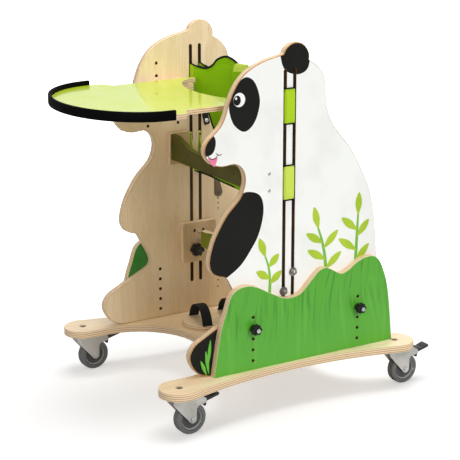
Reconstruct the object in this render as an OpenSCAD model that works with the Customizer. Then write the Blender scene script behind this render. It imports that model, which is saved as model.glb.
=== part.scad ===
// Standing frame for a child: two bear-shaped plywood sides on a castor base, with a tray,
// two belts, a hip board, a knee carriage and foot plates. Millimetres, +Z up, the child
// faces -Y, and the origin lies on the floor under the middle of the whole frame.

/* [Base board] */
// Castor spacing across the frame
castor_span_x = 516; // [500:1:560]
// Castor spacing fore and aft
castor_span_y = 642; // [600:1:720]
// Radius of the round pad over each castor
pad_r = 50; // [44:1:56]
// Thickness of the base board
base_t = 18; // [15:1:25]
// Width of the board at its waist
base_waist = 524; // [515:1:540]
// Depth of the front arch from the line of the front castors
front_arch = 214; // [150:1:225]
// Corner radius of the front arch
front_arch_r = 170; // [100:1:180]
// Depth of the rear arch from the line of the rear castors
rear_arch = 106; // [60:1:130]
// Corner radius of the rear arch
rear_arch_r = 130; // [90:1:150]

/* [Castors] */
// Wheel diameter
wheel_d = 80; // [75:1:84]
// Tyre width
wheel_w = 25; // [20:1:28]
// Height of a castor from the floor to the board
castor_h = 104; // [102:1:115]
// Distance of the axle behind the swivel bolt
trail = 28; // [24:1:32]
// Sheet thickness of the fork
fork_t = 2.5; // [2:0.1:3]
// Room between the tyre and each fork cheek
fork_gap = 2.5; // [1.5:0.1:4]
// Diameter of the axle
axle_d = 8; // [6:0.5:10]
// Diameter of the swivel bolt
bolt_d = 10; // [8:0.5:12]
// Length of the brake pedal behind its pivot
pedal_l = 47; // [35:1:55]
// Width of the brake pedal
pedal_w = 26; // [18:1:30]

/* [Side panels] */
// Clear width between the two side panels
room_w = 430; // [410:1:440]
// Thickness of a side panel
panel_t = 18; // [15:1:21]
// Thickness of a green board
grass_t = 18; // [12:1:21]
// Width of a belt slot
slot_w = 9; // [8:0.5:10]
// Distance between the two slots of a panel
slot_pitch = 27; // [24:1:32]
// Middle of the two slots, behind the middle of the castors
slot_y = 4; // [-10:1:15]
// Lower end of the slots above the base board
slot_low = 85; // [60:1:120]
// Upper end of the slots above the base board
slot_high = 734; // [715:1:740]
// Radius of the bear's ear
ear_r = 38; // [30:1:42]

/* [Height holes] */
// Diameter of a height hole
hole_d = 8.5; // [8.5:0.1:10]
// Distance between two height holes
hole_pitch = 28; // [24:1:30]
// Number of height holes in a column
hole_count = 5; // [4:1:5]
// Lowest height hole above the base board
hole_low = 24; // [20:1:30]
// Front column of holes, ahead of the middle of the castors
hole_front = 108; // [90:1:125]
// Rear column of holes, behind the middle of the castors
hole_rear = 206; // [190:1:220]
// Hole that holds the star knob, counted from the lowest
knob_hole = 4; // [1:1:4]

/* [Star knobs] */
// Diameter of a star knob on a green board
knob_d = 27; // [24:1:36]
// Diameter of the larger star knobs that clamp the tray and the knee plates
clamp_d = 36; // [30:1:37]
// Height of a star knob
knob_h = 25; // [18:1:26]
// Diameter of a knob's stud
stud_d = 8; // [6:0.5:8]

/* [Tray] */
// Height of the tray's top above the base board
tray_z = 653; // [645:1:660]
// Thickness of the tray
tray_t = 12; // [10:1:15]
// Width of the tray between the side panels
tray_w = 370; // [350:1:380]
// Width of the tray ahead of the side panels
tray_front_w = 436; // [420:1:450]
// Place of the tray's rear horns, ahead of the middle of the castors
tray_back = 20; // [18:1:40]
// Length of the tray from its horns to its front
tray_l = 464; // [440:1:500]
// Length of the round front of the tray
tray_round_l = 172; // [150:1:185]
// Length of the tray's wide part behind the round front, with the step to the narrow part
tray_wide_l = 62; // [50:1:70]
// Width of each horn beside the belly cut-out
horn_w = 13; // [11:1:25]
// Depth of the belly cut-out
cut_l = 98; // [70:1:120]
// Thickness of the black rim
trim_t = 8; // [6:0.5:10]
// Height of the black rim
trim_h = 24; // [18:1:30]
// Travel of the tray towards the front
tray_travel = 65; // [40:1:65]
// Reach of a tray rail under the tray
rail_under = 20; // [18:1:26]
// Height of a tray rail
rail_h = 22; // [18:1:30]
// Length of a tray rail
rail_l = 96; // [95:1:105]

/* [Belts] */
// Thickness of the belt where it passes the slots
strap_t = 4; // [3:0.5:5]
// Thickness of the padded part of a belt
pad_t = 7; // [5:0.5:9]
// Height of a belt's ends
belt_h = 86; // [70:1:90]
// Middle of the chest belt above the base board
chest_z = 645; // [630:1:660]
// Middle of the hip belt above the base board
hip_z = 457; // [450:1:462]
// How far a belt bows to the rear
belt_bow = 58; // [45:1:75]
// Overlap of the two halves of a belt
belt_lap = 150; // [120:1:160]

/* [Hip support] */
// Thickness of a hip block
block_t = 15; // [12:1:18]
// Length of a hip block
block_l = 62; // [56:1:64]
// Height of a hip block
block_h = 88; // [80:1:95]
// Middle of the hip blocks above the base board
block_z = 464; // [455:1:475]
// Distance of the hip blocks ahead of the front slot
block_gap = 8; // [4:1:15]
// Thickness of the hip board
hip_board_t = 15; // [12:1:18]

/* [Knee support] */
// Thickness of a knee plate
plate_t = 15; // [12:1:18]
// Length of a knee plate
plate_l = 104; // [90:1:112]
// Height of a knee plate
plate_h = 112; // [105:1:120]
// Middle of the knee plates above the base board
knee_z = 200; // [195:1:210]
// Thickness of the knee board
knee_board_t = 18; // [15:1:20]
// Length of the pins between a knee plate and the knee board
pin_l = 28; // [24:1:35]
// Diameter of a knee pin
pin_d = 8; // [6:0.5:9]
// Thickness of the knee cushion
cushion_t = 30; // [24:1:36]

/* [Feet] */
// Distance between the two foot plates' middles
foot_span = 208; // [180:1:220]
// Width of a foot plate
foot_w = 120; // [108:1:124]
// Length of a foot plate
foot_l = 214; // [190:1:230]
// Thickness of a foot plate
foot_t = 12; // [9:1:18]
// Front of the foot plates, ahead of the middle of the castors
foot_front = 96; // [80:1:98]
// Width of the foot straps' webbing
webbing_w = 28; // [20:1:38]
// Height of a foot strap's arch
arch_h = 46; // [35:1:60]
// Turn of the straps across a foot, outer end to the rear
strap_turn = 8; // [0:1:10]

/* [Hidden] */
$fn = 48;

// Clearances: between sliding faces, in a running fit, and round a screw
slide_gap = 0.4;
run_fit = 0.05;
screw_fit = 0.1;
// Overshoot of every cutting shape
eps = 1;

castor_x = castor_span_x / 2;
castor_y = castor_span_y / 2;
base_top = castor_h + base_t;
panel_in = room_w / 2;
panel_out = panel_in + panel_t;
grass_out = panel_out + grass_t;
slot_front_y = slot_y - slot_pitch / 2;
slot_rear_y = slot_y + slot_pitch / 2;
knob_z = base_top + hole_low + (knob_hole - 1) * hole_pitch;
tray_top = base_top + tray_z;
tray_low = tray_top - tray_t;
tray_nose = -tray_back - tray_l;

// The whole frame runs from the tray's rim to the tip of the rear pedals
pivot_y = 58;
pivot_z = 82;
frame_front = tray_nose - trim_t;
frame_rear = castor_y + pivot_y + pedal_l;
origin_y = (frame_front + frame_rear) / 2;

// Bear's side in y and z above the base board, from the sole up to the ear
panel_front = [
  [-222, 0], [-252, 11], [-272, 36], [-277, 62], [-263, 86], [-235, 102], [-206, 117],
  [-166, 136], [-141, 150], [-137, 168], [-148, 193], [-163, 220], [-176, 242], [-196, 249],
  [-214, 261], [-222, 288], [-211, 333], [-193, 368], [-170, 401], [-138, 432], [-125, 456],
  [-121, 482], [-130, 506], [-151, 519], [-184, 517], [-213, 526], [-231, 547], [-233, 566],
  [-224, 584], [-204, 601], [-186, 619], [-175, 642], [-166, 666], [-150, 692], [-125, 718],
  [-92, 743], [-58, 760], [-24, 768.5]];
// The same edge from the ear down to the seat
panel_rear = [
  [63, 744], [84, 723], [99, 695], [107, 660], [116, 623], [132, 584], [160, 543], [191, 507],
  [223, 459], [249, 404], [264, 337], [272, 270], [276, 200], [277, 130], [276, 60], [270, 20],
  [254, 0]];
// Middle of the ear, and the angles between which it stands out of the head
ear_at = [21, 758];
ear_from = 160;
ear_to = -14;

// Top of the green board in y and z above the base board, from its front to its rear foot
grass_points = [
  [-219, 0], [-201, 108], [-184, 162], [-171, 198], [-152, 214], [-126, 218], [-98, 211],
  [-58, 189], [-14, 169], [28, 172], [62, 202], [86, 223], [105, 228], [126, 219], [152, 205],
  [176, 211], [203, 228], [236, 237], [264, 229], [284, 196], [302, 132], [317, 0]];

// Heights of the chest belt's edges above and below its ends, by distance from the middle
chest_edge_x = [0, 40, 63, 86, 107, 130, 144, 162, 185, 200];
chest_edge_top = [15, 13, 13, 21, 25, 15, -3, -11, -8, -6.5];
chest_edge_low = [-92, -91, -90, -86, -78, -58, -44, -20, -9, -6];
// The same for the hip belt
hip_edge_x = [0, 60, 110, 150, 175, 198, 212];
hip_edge_top = [-33, -35, -41, -47, -51, -51, -8];
hip_edge_low = [-47, -44, -35, -23, -17, -15, -8];

// Points of one smooth stretch between p1 and p2
function bend(p0, p1, p2, p3, t) =
  0.5 * (2 * p1 + (p2 - p0) * t + (2 * p0 - 5 * p1 + 4 * p2 - p3) * t * t
    + (3 * p1 - p0 - 3 * p2 + p3) * t * t * t);

// Open smooth line through all the points, with n steps between two of them
function smooth(p, n) = concat(
  [for (i = [0 : len(p) - 2], k = [0 : n - 1])
    bend(p[max(i - 1, 0)], p[i], p[i + 1], p[min(i + 2, len(p) - 1)], k / n)],
  [p[len(p) - 1]]);

// Points of an ellipse's arc
function arc(mid, rx, ry, from, to, n) =
  [for (i = [0 : n]) let (a = from + (to - from) * i / n) mid + [rx * cos(a), ry * sin(a)]];

function reversed(p) = [for (i = [len(p) - 1 : -1 : 0]) p[i]];

function unit(v) = v / norm(v);

// Point beside a line at its point i, at distance d to its left
function beside(p, i, d) =
  let (a = unit(p[min(i + 1, len(p) - 1)] - p[max(i - 1, 0)])) p[i] + d * [-a[1], a[0]];

// Closed strip along a line, with its thickness at each point
function strip(p, t) = concat(
  [for (i = [0 : len(p) - 1]) beside(p, i, t[i] / 2)],
  [for (i = [len(p) - 1 : -1 : 0]) beside(p, i, -t[i] / 2)]);

// Moves the design frame to the origin of the whole frame
module placed() {
  translate([0, -origin_y, 0]) children();
}

// Children as drawn for the left side, or mirrored for the right side
module on_side(right) {
  if (right) mirror([1, 0, 0]) children();
  else children();
}

// Upright board: an outline in y and z, from x0 outwards
module upright(x0, t) {
  translate([x0, 0, base_top]) rotate([90, 0, 90]) linear_extrude(t) children();
}

// Round bar along x
module bar_x(x0, x1, r, y, z) {
  translate([x0, y, z]) rotate([0, 90, 0]) cylinder(h = x1 - x0, r = r);
}

// Rectangle with round corners, centred
module round_rect(w, h, r) {
  square([w - 2 * r, h], center = true);
  square([w, h - 2 * r], center = true);
  for (x = [-1, 1], y = [-1, 1]) translate([x * (w / 2 - r), y * (h / 2 - r)]) circle(r);
}

// Base board

waist = base_waist / 2;
waist_off = waist - castor_x;
waist_r = (pow(castor_y, 2) + pow(waist_off, 2) - pow(pad_r, 2)) / (2 * (pad_r - waist_off));
// Angle at which the waist's arc leaves a pad
lean = atan2(castor_y, waist + waist_r - castor_x);
arch_x = castor_x - pad_r;

// Left half of the board's edge: front arch, front pad, waist, rear pad and rear arch
function base_half() = concat(
  arc([arch_x - front_arch_r, front_arch - castor_y - front_arch_r], front_arch_r, front_arch_r, 90, 0, 12),
  arc([castor_x, -castor_y], pad_r, pad_r, 180, 360 + lean, 24),
  [for (i = [1 : 15]) let (a = 180 + lean * (1 - i / 8)) [waist + waist_r, 0] + waist_r * [cos(a), sin(a)]],
  arc([castor_x, castor_y], pad_r, pad_r, -lean, 180, 24),
  arc([arch_x - rear_arch_r, castor_y - rear_arch + rear_arch_r], rear_arch_r, rear_arch_r, 0, -90, 12));

module base_outline() {
  half = base_half();
  polygon(concat(half, [for (p = reversed(half)) [-p[0], p[1]]]));
}

screw_y = [-170, 60, 225];
screw_d = 7;
screw_head_d = 12;
screw_head_h = 4;
screw_l = 55;
nut_seat_d = 18;
nut_seat_h = 8;

// Places of the screws that hold the upright boards
module at_screws() {
  for (s = [-1, 1], x = [panel_in + panel_t / 2, panel_out + grass_t / 2], y = screw_y)
    translate([s * x, y, castor_h]) children();
}

// Places of the four castors
module at_castors() {
  for (x = [-1, 1], y = [-1, 1]) translate([x * castor_x, y * castor_y, 0]) children();
}

module base_board() {
  color("burlywood") placed() difference() {
    translate([0, 0, castor_h]) linear_extrude(base_t) base_outline();
    at_castors() translate([0, 0, castor_h - eps])
      cylinder(h = base_t + 2 * eps, d = bolt_d + 2 * screw_fit);
    at_castors() translate([0, 0, base_top - nut_seat_h])
      cylinder(h = nut_seat_h + eps, d = nut_seat_d);
    at_screws() screw(screw_fit, eps);
  }
}

// Countersunk screw from below, larger by a clearance for its hole
module screw(gap, past) {
  translate([0, 0, -past]) cylinder(h = screw_head_h + past, d = screw_head_d + 2 * gap);
  cylinder(h = screw_l + past, d = screw_d + 2 * gap);
}

module board_screws() {
  color("silver") placed() at_screws() screw(0, 0);
}

// Castors

race_r = 22;
race_h = 7;
axle_z = wheel_d / 2;
cheek_in = wheel_w / 2 + fork_gap;
cheek_out = cheek_in + fork_t;
fork_top = castor_h - race_h - slide_gap;
rivet_r = 9;
rivet_h = 3;
pivot_r = 3;
barrel_r = 6.5;
boss_r = 10;
// Reach of the fork's front ahead of the bolt, and depth of its upright lip
fork_front = 24;
fork_lip = 12;
// Rear edge of a cheek: heights above the axle at which it leaves the boss and meets the lug
cheek_rise = 26;
lug_rise = 32;
// Place of the fork's plate and cheeks ahead of the pedal's pivot
plate_short = 8;

// Bolt, lock nut and upper ball race of each castor
module castor_bolts() {
  color("dimgray") placed() at_castors() {
    translate([0, 0, castor_h - race_h]) cylinder(h = race_h, r1 = race_r, r2 = race_r - 3);
    translate([0, 0, fork_top - fork_t - slide_gap - rivet_h]) {
      cylinder(h = rivet_h, r = rivet_r);
      cylinder(h = base_top - 2 - (fork_top - fork_t - slide_gap - rivet_h), d = bolt_d);
    }
    translate([0, 0, base_top - nut_seat_h]) cylinder(h = nut_seat_h - 2, d = nut_seat_d - 3, $fn = 6);
  }
}

// Side view of one fork cheek in y and z: slanted front, upright rear and a lug for the pedal
module cheek_outline() {
  lug = [[pivot_y + 9, pivot_z - 5], [pivot_y + 7, pivot_z + 6]];
  polygon(concat(
    [[-fork_front, fork_top], [-fork_front, fork_top - fork_lip], [trail - 8, axle_z - 6]],
    [[trail + boss_r, axle_z], [trail + boss_r + 1, axle_z + cheek_rise]],
    [[trail + boss_r + 5, axle_z + lug_rise]], lug, [[pivot_y - plate_short, fork_top]]));
  translate([trail, axle_z]) circle(boss_r);
}

module fork() {
  color("lightgray") difference() {
    union() {
      for (s = [-1, 1]) translate([s * (cheek_in + fork_t / 2) - fork_t / 2, 0, 0])
        rotate([90, 0, 90]) linear_extrude(fork_t) cheek_outline();
      translate([0, 0, fork_top - fork_t]) cylinder(h = fork_t, r = race_r + 3);
      translate([-cheek_out, -fork_front, fork_top - fork_t])
        cube([2 * cheek_out, fork_front + pivot_y - plate_short, fork_t]);
      bar_x(-cheek_out, cheek_out, pivot_r, pivot_y, pivot_z);
    }
    translate([0, 0, fork_top - fork_t - eps]) cylinder(h = fork_t + 2 * eps, d = bolt_d + 2 * run_fit);
    bar_x(-cheek_out - eps, cheek_out + eps, axle_d / 2 + run_fit, trail, axle_z);
  }
}

axle_head_r = 6.5;
axle_head_h = 4;

// Axle bolt with a hexagon at both ends
module axle() {
  color("silver") {
    bar_x(-cheek_out, cheek_out, axle_d / 2, trail, axle_z);
    for (s = [0, 1]) mirror([s, 0, 0]) translate([cheek_out, trail, axle_z]) rotate([0, 90, 0])
      cylinder(h = axle_head_h, r = axle_head_r, $fn = 6);
  }
}

rim_r = wheel_d / 2 - 9;

// Wheel core: boss, thin web and rim, turned about the axle
module hub() {
  half = wheel_w / 2;
  bore = axle_d / 2 + run_fit;
  boss = axle_d / 2 + 6;
  color("gray") translate([0, trail, axle_z]) rotate([0, 90, 0]) rotate_extrude() polygon([
    [bore, -half - 1.5], [boss, -half - 1.5], [boss + 1, 4 - half], [rim_r - 5, 5 - half],
    [rim_r - 4, 1 - half], [rim_r, 1 - half], [rim_r, half - 1], [rim_r - 4, half - 1],
    [rim_r - 5, half - 5], [boss + 1, half - 4], [boss, half + 1.5], [bore, half + 1.5]]);
}

// Tyre with rounded shoulders
module tyre() {
  half = wheel_w / 2;
  outer = wheel_d / 2;
  shoulder = 5;
  crown = concat(
    arc([outer - shoulder, half - shoulder], shoulder, shoulder, 90, 0, 6),
    arc([outer - shoulder, shoulder - half], shoulder, shoulder, 0, -90, 6));
  color("dimgray") translate([0, trail, axle_z]) rotate([0, 90, 0])
    rotate_extrude($fn = 72) polygon(concat([[rim_r, half - 1]], crown, [[rim_r, 1 - half]]));
}

shoe_drop = 16;
shoe_back = 5;
shoe_t = 4;

// Brake pedal on its pivot: barrel, a shoe that nears the tyre when the tail is pressed, and a
// tread plate with raised ribs
module pedal() {
  half = min(pedal_w / 2, cheek_in - slide_gap);
  color("silver") difference() {
    union() {
      bar_x(-half, half, barrel_r, pivot_y, pivot_z);
      rotate([90, 0, 90]) translate([0, 0, -half]) linear_extrude(2 * half) polygon([
        [pivot_y, pivot_z - barrel_r], [pivot_y + shoe_back, pivot_z - shoe_drop],
        [pivot_y + shoe_back + shoe_t, pivot_z - shoe_drop + 1], [pivot_y + 10, pivot_z - 4],
        [pivot_y + 18, pivot_z - 2], [pivot_y + pedal_l - 4, pivot_z + 4],
        [pivot_y + pedal_l, pivot_z + 8], [pivot_y + pedal_l - 3, pivot_z + 12],
        [pivot_y + 24, pivot_z + 5], [pivot_y + 8, pivot_z + 8], [pivot_y - 2, pivot_z + 6]]);
      for (k = [0 : 2]) bar_x(-half, half, 1.2, pivot_y + 29 + 5 * k, pivot_z + 6.6 + 1.6 * k);
    }
    bar_x(-half - eps, half + eps, pivot_r + run_fit, pivot_y, pivot_z);
  }
}

// Puts a castor's piece under one corner of the base: -1 or 1 across and along
module corner(x, y) {
  placed() translate([x * castor_x, y * castor_y, 0]) children();
}

// Side panels and green boards

// Holes for the star knobs' studs, through a board
module height_holes(x0, t) {
  for (y = [-hole_front, hole_rear], k = [0 : hole_count - 1])
    bar_x(x0 - eps, x0 + t + eps, hole_d / 2, y, base_top + hole_low + k * hole_pitch);
}

// Long upright slot with round ends
module slot(y) {
  r = slot_w / 2;
  low = base_top + slot_low + r;
  high = base_top + slot_high - r;
  translate([panel_in - eps, y - r, low]) cube([panel_t + 2 * eps, slot_w, high - low]);
  for (z = [low, high]) bar_x(panel_in - eps, panel_out + eps, r, y, z);
}

blind_d = 8;
blind_l = 10;
blind_at = [[-112, 693], [-112, 660], [-139, 530], [-49, 530]];
// Small holes in which the lower tabs may be screwed instead
pilot_d = 4;
pilot_at = [[74, 308], [74, 294], [74, 280], [73, 75], [73, 57]];

module side_panel(right) {
  color("antiquewhite") placed() on_side(right) difference() {
    upright(panel_in, panel_t) polygon(concat(
      smooth(panel_front, 3), arc(ear_at, ear_r, ear_r, ear_from, ear_to, 20), smooth(panel_rear, 3)));
    for (y = [slot_front_y, slot_rear_y]) slot(y);
    height_holes(panel_in, panel_t);
    for (p = blind_at) bar_x(panel_in - eps, panel_in + blind_l, blind_d / 2, p[0], base_top + p[1]);
    for (p = pilot_at) bar_x(panel_in - eps, panel_in + blind_l, pilot_d / 2, p[0], base_top + p[1]);
    for (z = hip_screw_z)
      bar_x(panel_in - eps, panel_out + eps, hip_screw_d / 2 + screw_fit, hip_screw_y, z);
    at_screws() screw(screw_fit, 0);
  }
}

module grass_board(right) {
  color("limegreen") placed() on_side(right) difference() {
    upright(panel_out, grass_t) polygon(smooth(grass_points, 4));
    height_holes(panel_out, grass_t);
    at_screws() screw(screw_fit, 0);
  }
}

// Star knob along +z: neck with its underside at z = 0, star, nose, and the stud below
module star_knob(d, stud_l) {
  lobes = 6;
  bite_r = d * 0.17;
  translate([0, 0, 0.24 * knob_h]) linear_extrude(0.56 * knob_h) difference() {
    circle(d / 2);
    for (k = [0 : lobes - 1]) rotate(k * 360 / lobes)
      translate([d / 2 + bite_r * 0.45, 0]) circle(bite_r);
  }
  cylinder(h = knob_h, r1 = d * 0.34, r2 = d * 0.26);
  translate([0, 0, -stud_l]) cylinder(h = stud_l, d = stud_d);
}

// Star knob on a green board, at the front or the rear column
module panel_knob(right, y) {
  color("black") placed() on_side(right) translate([grass_out + slide_gap, y, knob_z])
    rotate([0, 90, 0]) star_knob(knob_d, grass_t + panel_t);
}

// Plastic tabs behind the slots, where loose straps are tied: an upper and a lower one a side
tab_t = 2.5;
tab_upper_w = 17;
tab_upper_h = 34;
tab_corner = 4;
// Screw of an upper tab above its middle
tab_screw_up = 9;
tab_upper = [37, 536];
tab_lower = [72, 325];
tab_lower_l = 62;
tab_lower_r = 11;
tab_hole_r = 2.7;

module at_tabs(p) {
  for (s = [0, 1]) mirror([s, 0, 0]) translate([panel_in, p[0], base_top + p[1]])
    rotate([90, 0, -90]) children();
}

module anchor_tabs() {
  color("black") placed() {
    at_tabs(tab_upper) linear_extrude(tab_t) difference() {
      round_rect(tab_upper_w, tab_upper_h, tab_corner);
      translate([0, tab_screw_up]) circle(tab_hole_r);
    }
    at_tabs(tab_lower) linear_extrude(tab_t) difference() {
      union() {
        circle(tab_lower_r);
        polygon([[-tab_lower_r, 0], [tab_lower_r, 0], [7, tab_lower_l], [-7, tab_lower_l]]);
      }
      circle(tab_hole_r);
    }
  }
}

// Screw of each tab, and a steel ring hung from the upper ones
module anchor_rings() {
  color("silver") placed() {
    for (p = [tab_upper + [0, tab_screw_up], tab_lower]) at_tabs(p) {
      cylinder(h = tab_t, r = 2.5);
      translate([0, 0, tab_t]) cylinder(h = 2.5, r1 = 5, r2 = 3.5);
    }
    at_tabs(tab_upper - [0, tab_upper_h / 2]) translate([0, -6, tab_t + 2]) rotate_extrude()
      translate([9, 0]) circle(2, $fn = 16);
  }
}

// Tray

// Half width of the tray at a share of the step from its narrow to its wide part
function step_x(t) = (tray_w + (tray_front_w - tray_w) * (1 - cos(180 * t)) / 2) / 2;

step_l = 22;
round_y = tray_nose + tray_round_l;
narrow_y = round_y + tray_wide_l;
cut_w = tray_w - 2 * horn_w;

// Right-hand edge of the tray from its horn to its nose, then the front arc back
function tray_side() = concat(
  [[tray_w / 2 - 2, -tray_back], [tray_w / 2, -tray_back - 6]],
  [for (i = [0 : 6]) [step_x(i / 6), narrow_y - step_l * i / 6]]);

module tray_outline() {
  side = reversed(tray_side());
  left = [for (p = tray_side()) [-p[0], p[1]]];
  polygon(concat(
    arc([0, round_y], tray_front_w / 2, tray_round_l, -180, 0, 40),
    side, arc([0, -tray_back], cut_w / 2, cut_l, 0, -180, 36), left));
}

tray_knob_in = 8;
tray_knob_back = 30;
tray_knob_x = tray_w / 2 - tray_knob_in;
tray_knob_y = -tray_back - tray_knob_back;
rail_w = panel_in - tray_w / 2 + rail_under;
rail_front = 6;
tray_hole_l = 9;

module tray_board() {
  color("yellowgreen") placed() difference() {
    translate([0, 0, tray_low]) linear_extrude(tray_t) tray_outline();
    for (s = [-1, 1]) translate([s * tray_knob_x, tray_knob_y, tray_low - eps])
      cylinder(h = tray_hole_l + eps, d = stud_d + 2 * run_fit);
  }
}

trim_back = 10;

// Raised rim round the front of the tray
module tray_trim() {
  inner = arc([0, round_y], tray_front_w / 2, tray_round_l, 0, -180, 40);
  outer = arc([0, round_y], tray_front_w / 2 + trim_t, tray_round_l + trim_t, -180, 0, 40);
  x = tray_front_w / 2;
  color("black") placed() translate([0, 0, tray_low]) linear_extrude(trim_h) polygon(concat(
    [[x, round_y + trim_back]], inner, [[-x, round_y + trim_back]],
    [[-x - trim_t, round_y + trim_back]], outer, [[x + trim_t, round_y + trim_back]]));
}

// Rail on a panel's inner face that carries the tray, slotted for the clamp knob
module tray_rail(right) {
  r = slot_w / 2;
  front = tray_knob_y - tray_travel - r;
  color("burlywood") placed() on_side(right) difference() {
    translate([panel_in - rail_w, front - rail_front, tray_low - slide_gap - rail_h])
      cube([rail_w, rail_l, rail_h]);
    translate([tray_knob_x - r, front + r, tray_low - rail_h - eps])
      cube([slot_w, tray_travel, rail_h + 2 * eps]);
    for (y = [tray_knob_y, tray_knob_y - tray_travel])
      translate([tray_knob_x, y, tray_low - rail_h - eps]) cylinder(h = rail_h + 2 * eps, r = r);
  }
}

module tray_knob(right) {
  grip = slide_gap + rail_h + slide_gap;
  color("black") placed() on_side(right) translate([tray_knob_x, tray_knob_y, tray_low - grip])
    mirror([0, 0, 1]) star_knob(clamp_d, grip + tray_hole_l - slide_gap);
}

// Belts

belt_out = panel_out + slide_gap + strap_t / 2;
// Distance from a panel at which the returning strap is sewn to the padded part
join_gap = 62;
join_x = panel_in - join_gap;
join_rise = 16;
turn_r = strap_t / 2 + 0.6;
lap_steps = 14;
// Corner radius of a belt's tongue, and how much its edges draw in towards the tip
tongue_r = 15;
tongue_drop = 4;

// Line of one half belt seen from above: from past the middle, out through the front slot,
// round the bar between the slots and back in through the rear slot onto itself
function belt_line(shift) =
  let (join_y = slot_front_y + join_rise + shift, start = -belt_lap / 2, turn_x = belt_out - turn_r)
  concat(
    [for (i = [0 : lap_steps]) let (x = start + (join_x - start) * i / lap_steps)
      [x, join_y + (belt_bow - join_rise) * (1 - pow(x / join_x, 2))]],
    [[panel_in - 30, slot_front_y + 4], [panel_in - 14, slot_front_y]],
    arc([turn_x, slot_front_y + turn_r], turn_r, turn_r, -90, 0, 4),
    arc([turn_x, slot_rear_y - turn_r], turn_r, turn_r, 0, 90, 4),
    [[panel_in - 14, slot_rear_y], [panel_in - 36, slot_rear_y - 1]],
    [[join_x + 4, join_y + (pad_t + strap_t) / 2 + slide_gap + 1]]);

// Thickness at each point of a belt's line: padded as far as the join, then plain strap
function belt_thick(n) =
  [for (i = [0 : n - 1]) i < lap_steps - 1 ? pad_t : i < lap_steps ? (pad_t + strap_t) / 2 : strap_t];

// Front view of one half belt: straight ends, shaped edges, and a round tongue past the middle
module belt_face(edge_x, edge_top, edge_low) {
  n = len(edge_x) - 1;
  half = belt_h / 2;
  top = smooth([for (i = [0 : n]) [edge_x[i], half + edge_top[i]]], 4);
  low = smooth([for (i = [0 : n]) [edge_x[i], edge_low[i] - half]], 4);
  end = belt_out + strap_t;
  x = tongue_r - belt_lap / 2;
  polygon(concat(
    arc([x, top[0][1] - tongue_drop - tongue_r], tongue_r, tongue_r, 180, 90, 6), top,
    [[end, half], [end, -half]], reversed(low),
    arc([x, low[0][1] + tongue_drop + tongue_r], tongue_r, tongue_r, 270, 180, 6)));
}

// One half of a belt; the left half laps in front of the right one
module half_belt(right, z, edge_x, edge_top, edge_low) {
  shift = (right ? 1 : -1) * (pad_t + slide_gap) / 2;
  tall = 4 * belt_h;
  deep = 4 * belt_bow;
  path = belt_line(shift);
  color("olivedrab") placed() on_side(right) intersection() {
    translate([0, 0, base_top + z - tall / 2]) linear_extrude(tall)
      polygon(strip(path, belt_thick(len(path))));
    translate([0, deep / 2, base_top + z]) rotate([90, 0, 0]) linear_extrude(deep)
      belt_face(edge_x, edge_top, edge_low);
  }
}

module chest_belt(right) {
  half_belt(right, chest_z, chest_edge_x, chest_edge_top, chest_edge_low);
}

module hip_belt(right) {
  half_belt(right, hip_z, hip_edge_x, hip_edge_top, hip_edge_low);
}

// Hip support

hip_screw_d = 5;
hip_screw_y = slot_front_y - slot_w / 2 - block_gap - block_l / 2;
hip_screw_z = [for (s = [-1, 1]) base_top + block_z + s * block_h * 0.24];

module hip_block(right) {
  color("burlywood") placed() on_side(right) difference() {
    translate([panel_in - block_t, hip_screw_y, base_top + block_z]) rotate([90, 0, 90])
      linear_extrude(block_t) round_rect(block_l, block_h, 6);
    for (z = hip_screw_z)
      bar_x(panel_in - block_t / 2, panel_in + eps, hip_screw_d / 2 + screw_fit, hip_screw_y, z);
  }
}

// Half of the hip board's face, from the middle out to the block
hip_board_top = [[0, 14], [60, 14], [105, 17], [140, 28], [170, 38], [192, 40]];
hip_board_end = 40;
hip_board_low = -28;

module hip_board() {
  end = panel_in - block_t;
  top = smooth(concat(hip_board_top, [[end, hip_board_end]]), 3);
  front = hip_screw_y - block_l / 2 + 5;
  color("yellowgreen") placed() translate([0, front + hip_board_t, base_top + block_z])
    rotate([90, 0, 0]) linear_extrude(hip_board_t) polygon(concat(
      [for (p = reversed(top)) [-p[0], p[1]]], top, [[end, hip_board_low], [-end, hip_board_low]]));
}

// Screws from outside through each panel into its block
module hip_screws() {
  color("silver") placed() for (s = [0, 1], z = hip_screw_z) mirror([s, 0, 0]) {
    bar_x(panel_in - block_t / 2, panel_out, hip_screw_d / 2, hip_screw_y, z);
    translate([panel_out, hip_screw_y, z]) rotate([0, 90, 0]) cylinder(h = 2, r1 = 5, r2 = 3.5);
  }
}

// Knee support

plate_in = panel_in - slide_gap - plate_t;
// Depth to which the lower bolt enters a knee plate, where it meets the clamp knob's stud
bolt_end = 2;
bolt_r = stud_d / 2;
knee_low_z = base_top + knee_z - 18;
knee_high_z = base_top + knee_z + 28;
knee_end = plate_in - pin_l;
pin_y = 3;
pin_z = [base_top + knee_z + 5, base_top + knee_z + 27];

module knee_plate(right) {
  color("burlywood") placed() on_side(right) difference() {
    translate([plate_in, slot_y + 2, base_top + knee_z]) rotate([90, 0, 90])
      linear_extrude(plate_t) round_rect(plate_l, plate_h, 8);
    for (y = [slot_front_y, slot_rear_y], z = [knee_low_z - 10, knee_high_z + 4])
      if (z != knee_low_z - 10 || y != slot_front_y)
        bar_x(plate_in - eps, plate_in + plate_t / 2, 4, y, z);
    bar_x(plate_in - eps, panel_in, bolt_r + run_fit, slot_front_y, knee_low_z);
    bar_x(plate_in + plate_t / 2, panel_in, bolt_r + run_fit, slot_rear_y, knee_high_z);
    for (z = pin_z) bar_x(plate_in - eps, plate_in + plate_t / 2, pin_d / 2 + screw_fit, pin_y, z);
  }
}

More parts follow.
